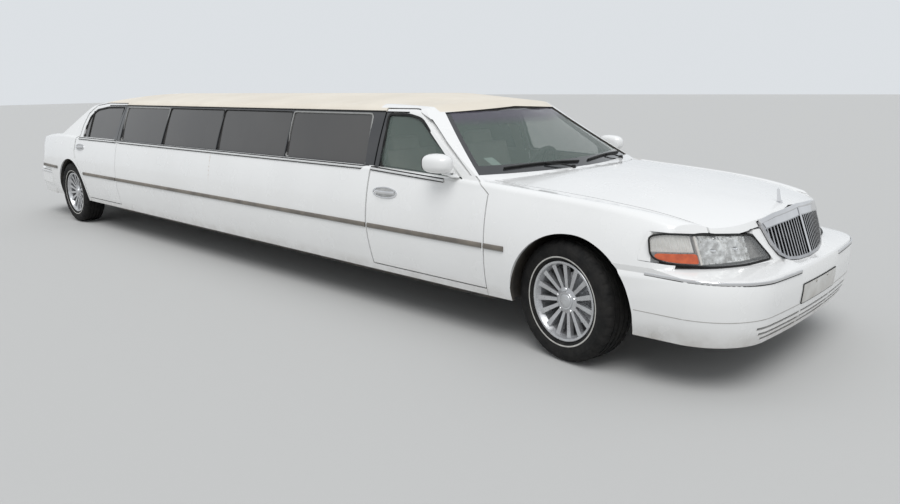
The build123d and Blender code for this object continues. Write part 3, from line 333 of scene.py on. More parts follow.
def seam_rust(tree):
    """A faint rusty line where the stretch's two side sheets join."""
    x = coordinate(tree, "X")
    z = coordinate(tree, "Z")
    return all_of(tree, over(tree, x, R + 3.268, 0.004), under(tree, x, R + 3.280, 0.004),
                  over(tree, z, 0.78, 0.06), under(tree, z, 0.99, 0.02),
                  spread(tree, noise(tree, 60.0, 6.0), 0.0, 0.6, 0.42, 0.62))


arch = (CHASSIS, zone(near_axles, y=(None, 0.945)))
windscreen_only = (0.0, None)
looks = {
    "stretch_panels": surface("stretch_sides", WHITE, (RUST, seam_rust),
                              (GLOSS_BLACK, zone(z=(PANE_FOOT_Z, GUTTER_Z))),
                              (VINYL, zone(z=(GUTTER_Z, None))), (INNER_TRIM, inward)),
    "roof": surface("roof_cover", VINYL, (WHITE, zone(y=(ROOF_EDGE_Y, None), x=(F - 1.74, None))),
                    (HEADLINER, downward)),
    "quarter_panels": surface("quarter_sides", WHITE, (INNER_TRIM, zone(inward, beside_boot)), arch),
    "front_fenders": surface("fender_paint", WHITE, (CHASSIS, zone(inward, z=(None, 0.80),
                                                                   x=(None, F + 0.40))), arch),
    "front_bumper": surface("bumper_paint", WHITE, arch),
    "rear_bumper": surface("rear_bumper_paint", WHITE, arch),
    "cowl": surface("cowl_paint", WHITE, (VINYL, zone(z=(1.3755, None), x=(None, F - 1.0),
                                                      y=(None, ROOF_EDGE_Y))),
                    (INNER_TRIM, zone(inward, x=(None, F - 0.50)))),
    "grille": surface("grille_chrome", look((0.52, 0.52, 0.53), (0.42, 0.42, 0.43), 0.2, 14.0,
                                            metal=1.0)),
    "screens": surface("screen_glass", GREEN_GLASS, (SHADE, zone(shade_band, x=windscreen_only)),
                       (GLOSS_BLACK, zone(frit, x=windscreen_only))),
    "floor_pan": surface("floor_sheet", CHASSIS, (CARPET, zone(floor_top, y=(None, 0.83),
                                                               x=(R - 0.06, F - 0.52)))),
    "partition": surface("partition_cloth", INNER_TRIM),
    "dashboard": surface("dash_trim", look((0.10, 0.095, 0.085), (0.075, 0.07, 0.065), 0.6, 9.0,
                                           grain=0.5, grain_scale=350.0)),
    "rear_shelf": surface("shelf_paint", WHITE, (INNER_TRIM, zone(z=(None, 0.985)))),
    "hood": surface("hood_paint", WHITE, (CHASSIS, downward)),
    "trunk_lid": surface("lid_paint", WHITE, (DARK_TRIM, downward)),
}
door_looks = {
    "front": surface("front_door_paint", WHITE, (GLOSS_BLACK, zone(x=(None, F - 1.583),
                                                                   z=(1.004, 1.374))),
                     (INNER_TRIM, inward)),
    "rear": surface("rear_door_paint", WHITE, (GLOSS_BLACK, zone(x=(R + 1.172, None),
                                                                 z=(PANE_FOOT_Z, 1.374))),
                    (INNER_TRIM, inward)),
}
for hand in SIDES:
    for end in ENDS:
        looks[f"door_{end}_{hand}"] = door_looks[end]
for name, material in looks.items():
    nodes[name].data.materials[0] = material


# Mesh helpers

def tree_of(*names):
    """A search tree over the faces of some nodes."""
    points, faces = [], []
    for name in names:
        mesh = nodes[name].data
        start = len(points)
        points += [v.co.copy() for v in mesh.vertices]
        faces += [[start + i for i in p.vertices] for p in mesh.polygons]
    return BVHTree.FromPolygons(points, faces)


def make(name, points, faces, skin, body="body", smooth=True, angle=35):
    """A mesh piece that rides on a body. A skin is a material, or several, and a slot; the slot is not
    used.
    """
    material, slot = skin
    mesh = bpy.data.meshes.new(name)
    mesh.from_pydata([tuple(p) for p in points], [], faces)
    mesh.validate()
    piece = bpy.data.objects.new(name, mesh)
    bpy.context.scene.collection.objects.link(piece)
    for one in material if isinstance(material, tuple) else (material,):
        mesh.materials.append(one)
    bm = bmesh.new()
    bm.from_mesh(mesh)
    bmesh.ops.recalc_face_normals(bm, faces=bm.faces)
    for face in bm.faces:
        face.smooth = smooth
    for edge in bm.edges:
        edge.smooth = not (len(edge.link_faces) == 2
                           and edge.calc_face_angle(0) > math.radians(angle))
    bm.to_mesh(mesh)
    bm.free()
    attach(piece, body)
    return piece


def grid_cube(cuts):
    """A cube from -1 to 1 with its faces cut into a grid."""
    bm = bmesh.new()
    bmesh.ops.create_cube(bm, size=2)
    bmesh.ops.subdivide_edges(bm, edges=bm.edges[:], cuts=cuts, use_grid_fill=True)
    return bm


def taken(bm):
    """The points and faces of a bmesh, which is then freed."""
    bm.verts.index_update()
    points = [v.co.copy() for v in bm.verts]
    faces = [[v.index for v in f.verts] for f in bm.faces]
    bm.free()
    return points, faces


def resample(path, step, closed=False):
    """Points along a path no further apart than a step."""
    path = [Vector(p) for p in path]
    points = []
    for a, b in zip(path, path[1:] + path[:1] if closed else path[1:]):
        count = max(1, math.ceil((b - a).length / step))
        points += [a.lerp(b, i / count) for i in range(count)]
    return points if closed else points + [path[-1]]


def rounded(path, radius):
    """A closed outline whose corners are rounded off."""
    path = [Vector(p) for p in path]
    out = []
    for i, corner in enumerate(path):
        before = path[i - 1] - corner
        after = path[(i + 1) % len(path)] - corner
        reach = min(radius, before.length * 0.45, after.length * 0.45)
        a = corner + before.normalized() * reach
        b = corner + after.normalized() * reach
        out += [a.lerp(corner, k / 4).lerp(corner.lerp(b, k / 4), k / 4) for k in range(5)]
    return out


def circle(count):
    """Angles all the way round."""
    return [2 * math.pi * k / count for k in range(count)]


def surface_frame(mapper, u, v):
    """A mapped point and the normal there."""
    e = 0.004
    du = mapper(u + e, v) - mapper(u - e, v)
    dv = mapper(u, v + e) - mapper(u, v - e)
    return mapper(u, v), du.cross(dv).normalized()


def ring_faces(count, n, closed, closed_section=True):
    """The faces between rings of n points, round each section or along an open one."""
    faces = []
    for i in range(count if closed else count - 1):
        j = (i + 1) % count
        for k in range(n if closed_section else n - 1):
            m = (k + 1) % n
            faces.append([i * n + k, i * n + m, j * n + m, j * n + k])
    return faces


def loft(name, rings, skin, body="body", closed=False, angle=35):
    """A skin over rings of points, with flat ends unless it closes on itself."""
    count, n = len(rings), len(rings[0])
    faces = ring_faces(count, n, closed)
    if not closed:
        faces.append(list(range(n))[::-1])
        faces.append([(count - 1) * n + k for k in range(n)])
    return make(name, [p for ring in rings for p in ring], faces, skin, body, angle=angle)


def sweep(name, points, normals, profile, skin, body="body", closed=False):
    """A profile of (across, out) places carried along points with one normal, or one for each."""
    count = len(points)
    if isinstance(normals, Vector):
        normals = [normals] * count
    rings = []
    for i, (point, normal) in enumerate(zip(points, normals)):
        before = points[i - 1] if closed or i else point
        after = points[(i + 1) % count] if closed or i < count - 1 else point
        along = (after - before).normalized()
        across = along.cross(normal).normalized()
        rings.append([point + across * a + normal * o for a, o in profile])
    return loft(name, rings, skin, body, closed)


def strip_profile(width, out, sink=0.001):
    """A strip's section with rounded shoulders."""
    w = width / 2
    return [(-w, -sink), (-w, out * 0.55), (-w * 0.72, out * 0.92), (-w * 0.3, out),
            (w * 0.3, out), (w * 0.72, out * 0.92), (w, out * 0.55), (w, -sink)]


def strip_on(name, path, on, width, out, skin, body="body", closed=False, step=0.05, sink=0.001,
             fixed=False):
    """A strip along a path on a mapped surface, given with the way that it faces.

    With fixed, that way is the strip's normal all along.
    """
    mapper, facing = on
    points, normals = [], []
    for uv in resample(path, step, closed):
        point, normal = (mapper(*uv), facing.normalized()) if fixed else surface_frame(mapper, *uv)
        points.append(point)
        normals.append(-normal if normal.dot(facing) < 0 else normal)
    return sweep(name, points, normals, strip_profile(width, out, sink), skin, body, closed)


def sheet_on(name, outline, on, thick, skin, body="body", step=0.05, lift=0.0, bulge=None):
    """A sheet over an outline on a mapped surface, lifted off it and thickened inward."""
    mapper, facing = on
    bm = bmesh.new()
    bm.faces.new([bm.verts.new((u, v, 0)) for u, v in outline])
    for axis in (0, 1):
        low = min(p[axis] for p in outline)
        high = max(p[axis] for p in outline)
        count = max(1, int((high - low) / step))
        for i in range(1, count):
            place = low + (high - low) * i / count
            bmesh.ops.bisect_plane(bm, geom=bm.verts[:] + bm.edges[:] + bm.faces[:],
                                   plane_co=(place * (1 - axis), place * axis, 0),
                                   plane_no=(1 - axis, axis, 0))
    bm.verts.index_update()
    rim = [[v.index for v in edge.verts] for edge in bm.edges if len(edge.link_faces) == 1]
    flat, faces = taken(bm)
    front, back = [], []
    for spot in flat:
        point, normal = surface_frame(mapper, spot.x, spot.y)
        normal = -normal if normal.dot(facing) < 0 else normal
        front.append(point + normal * (lift + (bulge(spot.x, spot.y) if bulge else 0.0)))
        back.append(point + normal * (lift - thick))
    n = len(flat)
    faces += [[n + i for i in reversed(face)] for face in faces]
    faces += [[a, b, n + b, n + a] for a, b in rim]
    return make(name, front + back, faces, skin, body)


def lathe(name, profile, matrix, skin, body="body", count=24, angle=35):
    """A profile of (radius, y) turned about the Y axis and put in place."""
    verts = [matrix @ Vector((r * math.sin(t), y, r * math.cos(t)))
             for t in circle(count) for r, y in profile]
    return make(name, verts, ring_faces(count, len(profile), True, False), skin, body, angle=angle)


def rod(name, points, radius, skin, body="body", count=10):
    """A round rod through points."""
    points = [Vector(p) for p in points]
    normals = []
    for i in range(len(points)):
        along = (points[min(i + 1, len(points) - 1)] - points[max(i - 1, 0)]).normalized()
        normals.append(along.cross(Vector((0.13, 0.21, 0.97))).normalized())
    profile = [(radius * math.cos(t), radius * math.sin(t)) for t in circle(count)]
    return sweep(name, points, normals, profile, skin, body)


def pillow(name, centre, size, turn, skin, crown, seams=(), roundness=0.3, cuts=20):
    """A padded block: rounded edges, a crowned top and sewn channels across it."""
    bm = grid_cube(cuts)
    half = Vector(size) / 2
    smallest = min(half)
    soft = Vector([roundness * smallest / h for h in half])
    for v in bm.verts:
        p = v.co.copy()
        inner = Vector([max(-(1 - s), min(1 - s, c)) for c, s in zip(p, soft)])
        away = Vector([(c - i) / s for c, i, s in zip(p, inner, soft)])
        if away.length > 1:
            away.normalize()
        q = Vector([i + a * s for i, a, s in zip(inner, away, soft)])
        rise = max(0.0, q.z)
        q.z += crown / half.z * (1 - p.x ** 2) * (1 - p.y ** 2) * rise
        for axis, place in seams:
            near = abs((q.x if axis == "x" else q.y) - place) * (half.x if axis == "x" else half.y)
            q.z -= 0.010 / half.z * math.exp(-(near / 0.010) ** 2) * rise
        v.co = Vector([a * h for a, h in zip(q, half)])
    matrix = Matrix.Translation(centre) @ turn
    points, faces = taken(bm)
    piece = make(name, [matrix @ p for p in points], faces, skin, angle=80)
    return piece


# Places on the body

BESIDE = 1.3  # half a width from which rays towards the side start
ACROSS_GAPS = (0.0, 0.012, -0.012)  # steps aside that carry a ray past a gap between panels


def from_side(tree, side, x, z, reach):
    """Where a level ray from beside the car meets a surface, or None."""
    return tree.ray_cast(Vector((x, side * BESIDE, z)), Vector((0, -side, 0)), reach)[0]


PANELS = ("front_fenders", "door_front_left", "door_front_right", "door_rear_left",
          "door_rear_right", "stretch_panels", "quarter_panels", "cowl", "front_bumper",
          "rear_bumper", "tail_panel", "trunk_lid", "hood", "roof", "rear_shelf")
outer_tree = tree_of("rockers", *PANELS)
glass_tree = tree_of("stretch_glass", "door_glass_front_left", "door_glass_front_right",
                     "door_glass_rear_left", "door_glass_rear_right")


def on_side(side, lift=0.0):
    """Places on the car's side, by x and height."""
    def place(x, z):
        for nudge in (*ACROSS_GAPS, 0.03, -0.03):
            spot = from_side(outer_tree, side, x + nudge, z, 0.62)
            if spot is not None and abs(spot.y) > 0.66:
                return Vector((x, spot.y + side * lift, z))
        return Vector((x, side * 0.8, z))
    return place


def glass_side(side, lift=0.0):
    """Places on the cabin's side glass, and beside it at the depth of its nearest edge."""
    def place(x, z):
        spot = from_side(glass_tree, side, x, z, 0.8)
        if spot is None:
            spot = glass_tree.find_nearest(Vector((x, side * 0.80, z)))[0]
        lean = 0.48 * (spot.z - z)
        return Vector((x, side * (abs(spot.y) + 0.003 + lean + lift), z))
    return place


def belt_side(side, lift=0.0):
    """Places along the belt: the fullest of the body a little under and over the height."""
    def place(x, z):
        spots = [from_side(outer_tree, side, x, z + rise, 0.6) for rise in (-0.012, -0.004, 0.004)]
        best = max((abs(spot.y) for spot in spots if spot is not None), default=0.9)
        return Vector((x, side * (best + lift), z))
    return place


def circle_through(p, q, s):
    """The centre and radius of the circle through three plan points."""
    a = 2 * (q[0] - p[0])
    b = 2 * (q[1] - p[1])
    c = q[0] ** 2 + q[1] ** 2 - p[0] ** 2 - p[1] ** 2
    d = 2 * (s[0] - p[0])
    e = 2 * (s[1] - p[1])
    g = s[0] ** 2 + s[1] ** 2 - p[0] ** 2 - p[1] ** 2
    x = (c * e - b * g) / (a * e - b * d)
    y = (a * g - c * d) / (a * e - b * d)
    return x, y, math.hypot(p[0] - x, p[1] - y)


near_arc = circle_through((-0.06, -0.45), (0, 0), (-0.06, 0.45))
far_arc = circle_through((-0.06, 0.45), (-0.195, 0.75), (-0.42, 0.935))


def on_nose(depth=0.0):
    """Places on the nose face, by y and height, at a depth behind it."""
    def place(y, z):
        width = min(abs(y), 0.98)
        x, centre, radius = near_arc if width < 0.45 else far_arc
        back = x + math.sqrt(max(radius ** 2 - (width - centre) ** 2, 0))
        return Vector((F + 0.93 - 0.36 * (z - 0.72) + back - depth, y, z))
    return place


def along_x(tree, x_from, way, reach, missed, nudges=(0.0,)):
    """Places where rays along the car meet a surface, by y and height, tried at each nudge of y."""
    def place(y, z):
        for nudge in nudges:
            hit = tree.ray_cast(Vector((x_from, y + nudge, z)), Vector((way, 0, 0)), reach)[0]
            if hit is not None:
                return Vector((hit.x, y, z))
        return Vector((missed, y, z))
    return place


def wheel_place(end, hand):
    """The wheel's own frame, with its outer side at +Y."""
    sign = SIDES[hand]
    place = Matrix.Translation((ENDS[end], sign * (0.805 if end == "front" else 0.82), AXLE_Z))
    if sign < 0:
        place = place @ Matrix.Rotation(math.pi, 4, "Z")
    if end == "front":
        pin = Matrix.Translation((F, sign * 0.72, 0))
        place = pin @ Matrix.Rotation(-STEER, 4, "Z") @ pin.inverted() @ place
    return place


def wrap_points(tree, plan, axle, middle):
    """Places and level normals round a corner, by rays from outside towards a plan's middle."""
    points, normals = [], []
    for x, y, z in resample(plan, 0.03):
        centre = Vector((axle + middle, math.copysign(min(abs(y), 0.35), y), z))
        spot = Vector((axle + x, y, z))
        aim = (centre - spot).normalized()
        hit = tree.ray_cast(spot - aim * 0.3, aim, 1.5)
        if hit[0] is not None:
            points.append(hit[0])
            flat = Vector((hit[1].x, hit[1].y, 0)).normalized()
            normals.append(flat if flat.dot(aim) < 0 else -flat)
    return points, normals


def turned(spot, angle, axis):
    """A place with a turn about one axis."""
    return Matrix.Translation(spot) @ Matrix.Rotation(angle, 4, axis)


# Outlines on the car's side: x from the axle named, height
FRONT_WINDOW = [(-0.79, 0.984), (-1.175, 1.25), (-1.295, 1.333), (-1.43, 1.358),
                (-1.625, 1.358), (-1.585, 1.01)]
REAR_WINDOW = [(1.17, 1.018), (1.192, 1.358), (0.78, 1.352), (0.505, 1.32), (0.372, 1.24),
               (0.332, 1.13), (0.326, 1.018)]
PANES = [(2.243, 1.312, 2.237, 1.284), (3.277, 2.255, 3.249, 2.249),
         (4.328, 3.289, 4.295, 3.261), (5.325, 4.34, 5.264, 4.307)]
PANE_LOW, PANE_HIGH = 1.018, 1.358
MOULDING_Z = 0.612


def side_trim(hand):
    """Mouldings, belt strips, window frames, drip lines, handles and locks of one side."""
    side = SIDES[hand]
    out = Vector((0, side, 0))
    up = Vector((0, side * 0.97, 0.24))
    lean = Vector((0, side * 0.90, 0.43))
    front, rear = f"door_front_{hand}", f"door_rear_{hand}"

    def strip(label, path, place, normal, *rest, **more):
        strip_on(f"{label}_{hand}", path, (place, normal), *rest, fixed=True, **more)

    for label, start, end, body, level in (
            ("fender", F - 0.556, F - 0.405, "body", MOULDING_Z),
            ("front_door", F - 1.618, F - 0.572, front, MOULDING_Z),
            ("stretch", R + 1.334, F - 1.642, "body", MOULDING_Z),
            ("rear_door", R + 0.452, R + 1.314, rear, MOULDING_Z),
            ("quarter", R - 0.930, R - 0.372, "body", 0.632)):
        strip(f"moulding_{label}", [(start, level), (end, level)], on_side(side), out, 0.032, 0.009,
              moulding, body)
        low = level - 0.0145
        strip(f"moulding_edge_{label}", [(start, low), (end, low)], on_side(side), out, 0.005,
              0.0095, (pane_grey[0], "chrome"), body)

    for label, path, body in (
            ("front_door", [(F - 1.622, 1.000), (F - 0.93, 0.968)], front),
            ("stretch", [(R + 1.326, 1.003), (F - 1.634, 1.001)], "body"),
            ("rear_door", [(R + 0.30, 1.003), (R + 1.305, 1.003)], rear)):
        strip(f"belt_chrome_{label}", path, belt_side(side, 0.0015), up, 0.014, 0.006, belt_bright,
              body, step=0.1)
        for part, drop, width in (("under", -0.010, 0.006), ("over", 0.0105, 0.008)):
            strip(f"belt_{part}_{label}", [(x, z + drop) for x, z in path], belt_side(side), up,
                  width, 0.004, rubber, body, step=0.1)

    for label, path, body, width in (
            ("stretch", [(R + 1.234, GUTTER_Z), (F - 1.668, GUTTER_Z)], "body", 0.012),
            ("front_door", [(F - 1.648, 1.372), (F - 1.43, 1.372)], front, 0.008),
            ("rear_door", [(R + 1.216, GUTTER_Z), (R + 0.80, 1.371)], rear, 0.010)):
        strip(f"drip_{label}", path, glass_side(side), lean, width, 0.006, rubber, body, step=0.1)

    for label, outline, axle, body in (("front", FRONT_WINDOW, F, front),
                                       ("rear", REAR_WINDOW, R, rear)):
        strip(f"seal_{label}", rounded([(axle + x, z) for x, z in outline], 0.035),
              glass_side(side, 0.003), lean, 0.020, 0.004, rubber, body, closed=True, step=0.04,
              sink=0.005)
    strip("divider", [(R + 0.455, 1.022), (R + 0.442, 1.305)], glass_side(side, 0.002), lean, 0.022,
          0.004, rubber, rear, step=0.03, sink=0.006)

    for i, (front_low, rear_low, front_high, rear_high) in enumerate(PANES):
        corners = [(R + front_low, PANE_LOW), (R + front_high, PANE_HIGH),
                   (R + rear_high, PANE_HIGH), (R + rear_low, PANE_LOW)]
        frame_look = (0.012, 0.0035, pane_grey) if i in (0, 3) else (0.008, 0.0025, rubber)
        strip(f"pane_frame_{i + 1}", rounded(corners, 0.03), glass_side(side, 0.004), lean,
              *frame_look, closed=True, step=0.08, sink=0.006)

    sail = [(F - 0.806, 0.992), (F - 0.925, 1.074), (F - 0.936, 1.068), (F - 0.936, 0.996)]
    sheet_on(f"mirror_sail_{hand}", sail, (glass_side(side), out), 0.008, paint, front, 0.04, 0.007)

    for label, x, z, body in (("front", F - 1.45, 0.85, front), ("rear", R + 0.36, 0.905, rear)):
        tag = f"{label}_{hand}"
        turns = circle(40)
        ring = [(x + 0.116 * math.cos(t), z + 0.034 * math.sin(t)) for t in turns]
        strip_on(f"handle_ring_{tag}", ring, (on_side(side), out), 0.009, 0.006, chrome, body,
                 closed=True, step=0.03)
        # A flat grey sheet behind each handle: painted shade of the handle's recess
        cup = [(x + 0.111 * math.cos(t), z + 0.030 * math.sin(t)) for t in turns[::2]]
        sheet_on(f"shaded_handle_cup_{tag}", cup, (on_side(side), out), 0.003, shaded_handle_cup, body, 0.03, 0.002)
        bow = 0.019
        points = [on_side(side, 0.002 + bow * (1 - abs(t) ** 3))(x + 0.098 * t, z + 0.004)
                  for t in (k / 8 - 1 for k in range(17))]
        bar = sweep(f"handle_bar_{tag}", points, out, strip_profile(0.021, 0.007, 0.006), chrome, body)
        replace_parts(bar, f"handle_{tag}")
        lathe(f"lock_{tag}", [(0.0, 0.003), (0.006, 0.003), (0.008, 0.001), (0.008, -0.003)],
              turned(on_side(side, 0.003)(x - 0.094, z - 0.006), 0 if side > 0 else math.pi, "Z"),
              chrome, body)


def mirror_details(hand):
    """A rounded mirror housing with its foot, glass and rim."""
    side = SIDES[hand]
    body = f"door_front_{hand}"
    backward = Vector((-1, 0, 0))
    low = Vector((F - 1.012, min(side * 0.937, side * 1.058), 1.020))
    high = Vector((F - 0.800, max(side * 0.937, side * 1.058), 1.143))
    bm = grid_cube(10)
    for v in bm.verts:
        p = v.co / sum(abs(c) ** 3.0 for c in v.co) ** (1 / 3.0)
        tip = 1 - 0.16 * max(0.0, p.y * side) - 0.10 * max(0.0, p.x)
        p = Vector((p.x * (1 - 0.10 * abs(p.y)) + 0.10 * (1 - p.y * side) - 0.08, p.y, p.z * tip))
        v.co = Vector([c + q * h for c, q, h in zip((low + high) / 2, p, (high - low) / 2)])
    piece = make(f"mirror_shell_{hand}", *taken(bm), paint, body, angle=80)
    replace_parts(piece, f"mirror_{hand}")
    tree = BVHTree.FromPolygons([v.co for v in piece.data.vertices],
                                [list(f.vertices) for f in piece.data.polygons])
    face = along_x(tree, F - 1.3, 1, 0.6, F - 0.99), backward

    def eased(value):
        return math.copysign(abs(value) ** 0.6, value)

    ring = [(side * (0.998 + 0.044 * eased(math.cos(t))), 1.080 + 0.040 * eased(math.sin(t)))
            for t in circle(36)]
    sheet_on(f"mirror_glass_{hand}", ring, face, 0.004, mirror_glass, body, 0.03, 0.0015)
    strip_on(f"mirror_rim_{hand}", ring, face, 0.006, 0.004, rubber, body, closed=True, step=0.02)
    foot = [(F - 0.850, side * 0.888, 1.002), (F - 0.862, side * 0.925, 1.010),
            (F - 0.880, side * 0.965, 1.032), (F - 0.892, side * 0.985, 1.060)]
    sweep(f"mirror_foot_{hand}", resample(foot, 0.01), Vector((0, side * 0.4, 0.9)),
          [(0.046 * math.cos(t), 0.017 * math.sin(t)) for t in circle(20)], paint, body)
    joint = [Vector((F - 0.835 - 0.11 * k / 6, side * (0.93 + 0.07 * k / 6), 1.0195))
             for k in range(7)]
    sweep(f"mirror_joint_{hand}", joint, Vector((0, 0, -1)), strip_profile(0.030, 0.003), rubber,
          body)


LAMP_OUTLINE = [(0.374, 0.652), (0.48, 0.786), (0.6, 0.797), (0.752, 0.808), (0.875, 0.816),
                (0.926, 0.806), (0.934, 0.72), (0.93, 0.694), (0.9, 0.668), (0.752, 0.647),
                (0.56, 0.646)]
BULB_Z = 0.722


def shrunk(outline, amount):
    """An outline pulled towards its middle by about an amount."""
    middle = sum((Vector(p) for p in outline), Vector((0, 0))) / len(outline)
    pulls = [[math.copysign(min(amount, abs(c)), c) for c in Vector(p) - middle] for p in outline]
    return [tuple(Vector(p) - Vector(pull)) for p, pull in zip(outline, pulls)]


def lamp_bowls(y, z):
    """How far the reflector sinks and ripples at a place."""
    sink = 0.0
    for centre, radius in ((0.590, 0.052), (0.706, 0.058)):
        near = math.hypot(abs(y) - centre, (z - BULB_Z) * 0.9) / radius
        if near < 1:
            sink = -0.034 * (1 - near ** 2)
    ripple = 0.0030 * math.sin(abs(y) * 330.0) + 0.0016 * math.cos(z * 240.0 + y * 90.0)
    return sink + ripple


def headlamp(hand):
    """A lamp: lens, gasket, housing, reflectors, divider and amber side reflector."""
    side = SIDES[hand]
    forward = Vector((1, 0, 0.2))

    def mirrored(outline):
        return [(side * y, z) for y, z in outline]

    def sheet(label, outline, depth, thick, skin, step, bulge=None):
        return sheet_on(f"lamp_{label}_{hand}", mirrored(outline), (on_nose(depth), forward), thick,
                        skin, step=step, bulge=bulge)

    def strip(label, path, depth, width, out, skin, **more):
        strip_on(f"lamp_{label}_{hand}", mirrored(path), (on_nose(depth), forward), width, out, skin,
                 **more)

    whole = [tuple(p) for p in rounded(LAMP_OUTLINE, 0.03)]
    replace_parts(sheet("lens", shrunk(whole, 0.004), 0.0, 0.004, lens, 0.03), "headlamps")
    strip("gasket", shrunk(whole, 0.001), 0.0, 0.009, 0.003, rubber, closed=True, step=0.03, sink=0.03)
    sheet("housing", [(min(y, 0.885), z) for y, z in shrunk(whole, 0.004)], 0.062, 0.004, lamp_shell,
          0.03)
    sheet("reflector", [(0.515, 0.662), (0.515, 0.781), (0.6, 0.789), (0.752, 0.799), (0.776, 0.799),
                        (0.776, 0.661), (0.752, 0.659)], 0.022, 0.004, facets, 0.006, lamp_bowls)
    for k, y in enumerate((0.590, 0.706)):
        lathe(f"lamp_bulb_{k + 1}_{hand}",
              [(0.0, 0.030), (0.006, 0.029), (0.0105, 0.025), (0.012, 0.018), (0.012, 0.004),
               (0.016, 0.0), (0.016, -0.012)],
              turned(on_nose(0.040)(side * y, BULB_Z), -math.pi / 2, "Z"), chrome, count=28)
    sheet("inner", [(0.392, 0.662), (0.478, 0.77), (0.512, 0.776), (0.512, 0.662)], 0.030, 0.004,
          lamp_dark, 0.02, lambda y, z: 0.004 * math.sin(z * 260.0))
    sheet("signal", [(0.792, 0.720), (0.792, 0.800), (0.875, 0.807), (0.915, 0.799), (0.923, 0.724)],
          0.020, 0.004, lamp_pale, 0.006, lambda y, z: 0.0014 * math.cos(y * 420.0))
    amber = [(0.796, 0.666), (0.796, 0.716), (0.918, 0.718), (0.926, 0.706), (0.920, 0.690),
             (0.885, 0.674)]
    sheet("amber", rounded(amber, 0.012), -0.0008, 0.012, amber_lens, 0.010,
          lambda y, z: 0.0016 * math.cos(z * 620.0))
    strip("divider", [(0.784, 0.660), (0.784, 0.800)], 0.006, 0.012, 0.005, lamp_pale, step=0.02,
          sink=0.03)
    for k in range(9):
        y = 0.806 + 0.013 * k
        strip(f"rib_{k + 1}", [(y, 0.726), (y, 0.798)], 0.0048, 0.005, 0.0012, lens, step=0.03)

    # The fender's skin between the lamp's outer end and the wheel side
    bm = bmesh.new()
    bm.from_mesh(nodes["headlamps"].data)
    bmesh.ops.remove_doubles(bm, verts=bm.verts[:], dist=0.00002)
    other_side = [f for f in bm.faces if f.calc_center_median().y * side < 0]
    bmesh.ops.delete(bm, geom=other_side, context="FACES")
    corner = on_nose()(side * 0.926, 0.75)
    along = (corner - on_nose()(side * 0.900, 0.75)).normalized()
    along.z = 0
    cut = bmesh.ops.bisect_plane(bm, geom=bm.verts[:] + bm.edges[:] + bm.faces[:],
                                 plane_co=corner, plane_no=along, clear_inner=True)
    edges = [e for e in cut["geom_cut"] if isinstance(e, bmesh.types.BMEdge)]
    bmesh.ops.holes_fill(bm, edges=edges, sides=0)
    make(f"lamp_corner_{hand}", *taken(bm), paint, angle=30)


def bumper_ledge(hand, fenders, bumper):
    """The ledge between a front fender and the bumper, behind the lamp."""
    side = SIDES[hand]
    rows = []
    for k in range(15):
        x = F + 0.400 + 0.017 * k
        a = from_side(fenders, side, x, 0.668 - 0.0006 * k, 0.6)
        c = from_side(bumper, side, x, 0.622, 0.6)
        if a is None or c is None:
            continue
        blend = min(max((a.x - F - 0.40) / 0.24, 0.0), 1.0)
        c = Vector((c.x, c.y - side * 0.012 * blend, c.z + 0.004))
        row = [a.lerp(c, k / 8) for k in range(9)]
        for k, spot in enumerate(row):
            spot.y -= side * 0.006 * math.sin(math.pi * k / 8)
        rows.append(row + [Vector((c.x, c.y - side * 0.03, c.z - 0.008)),
                           Vector((a.x, a.y - side * 0.02, a.z - 0.004))])
    loft(f"fender_ledge_{hand}", rows, paint, angle=40)


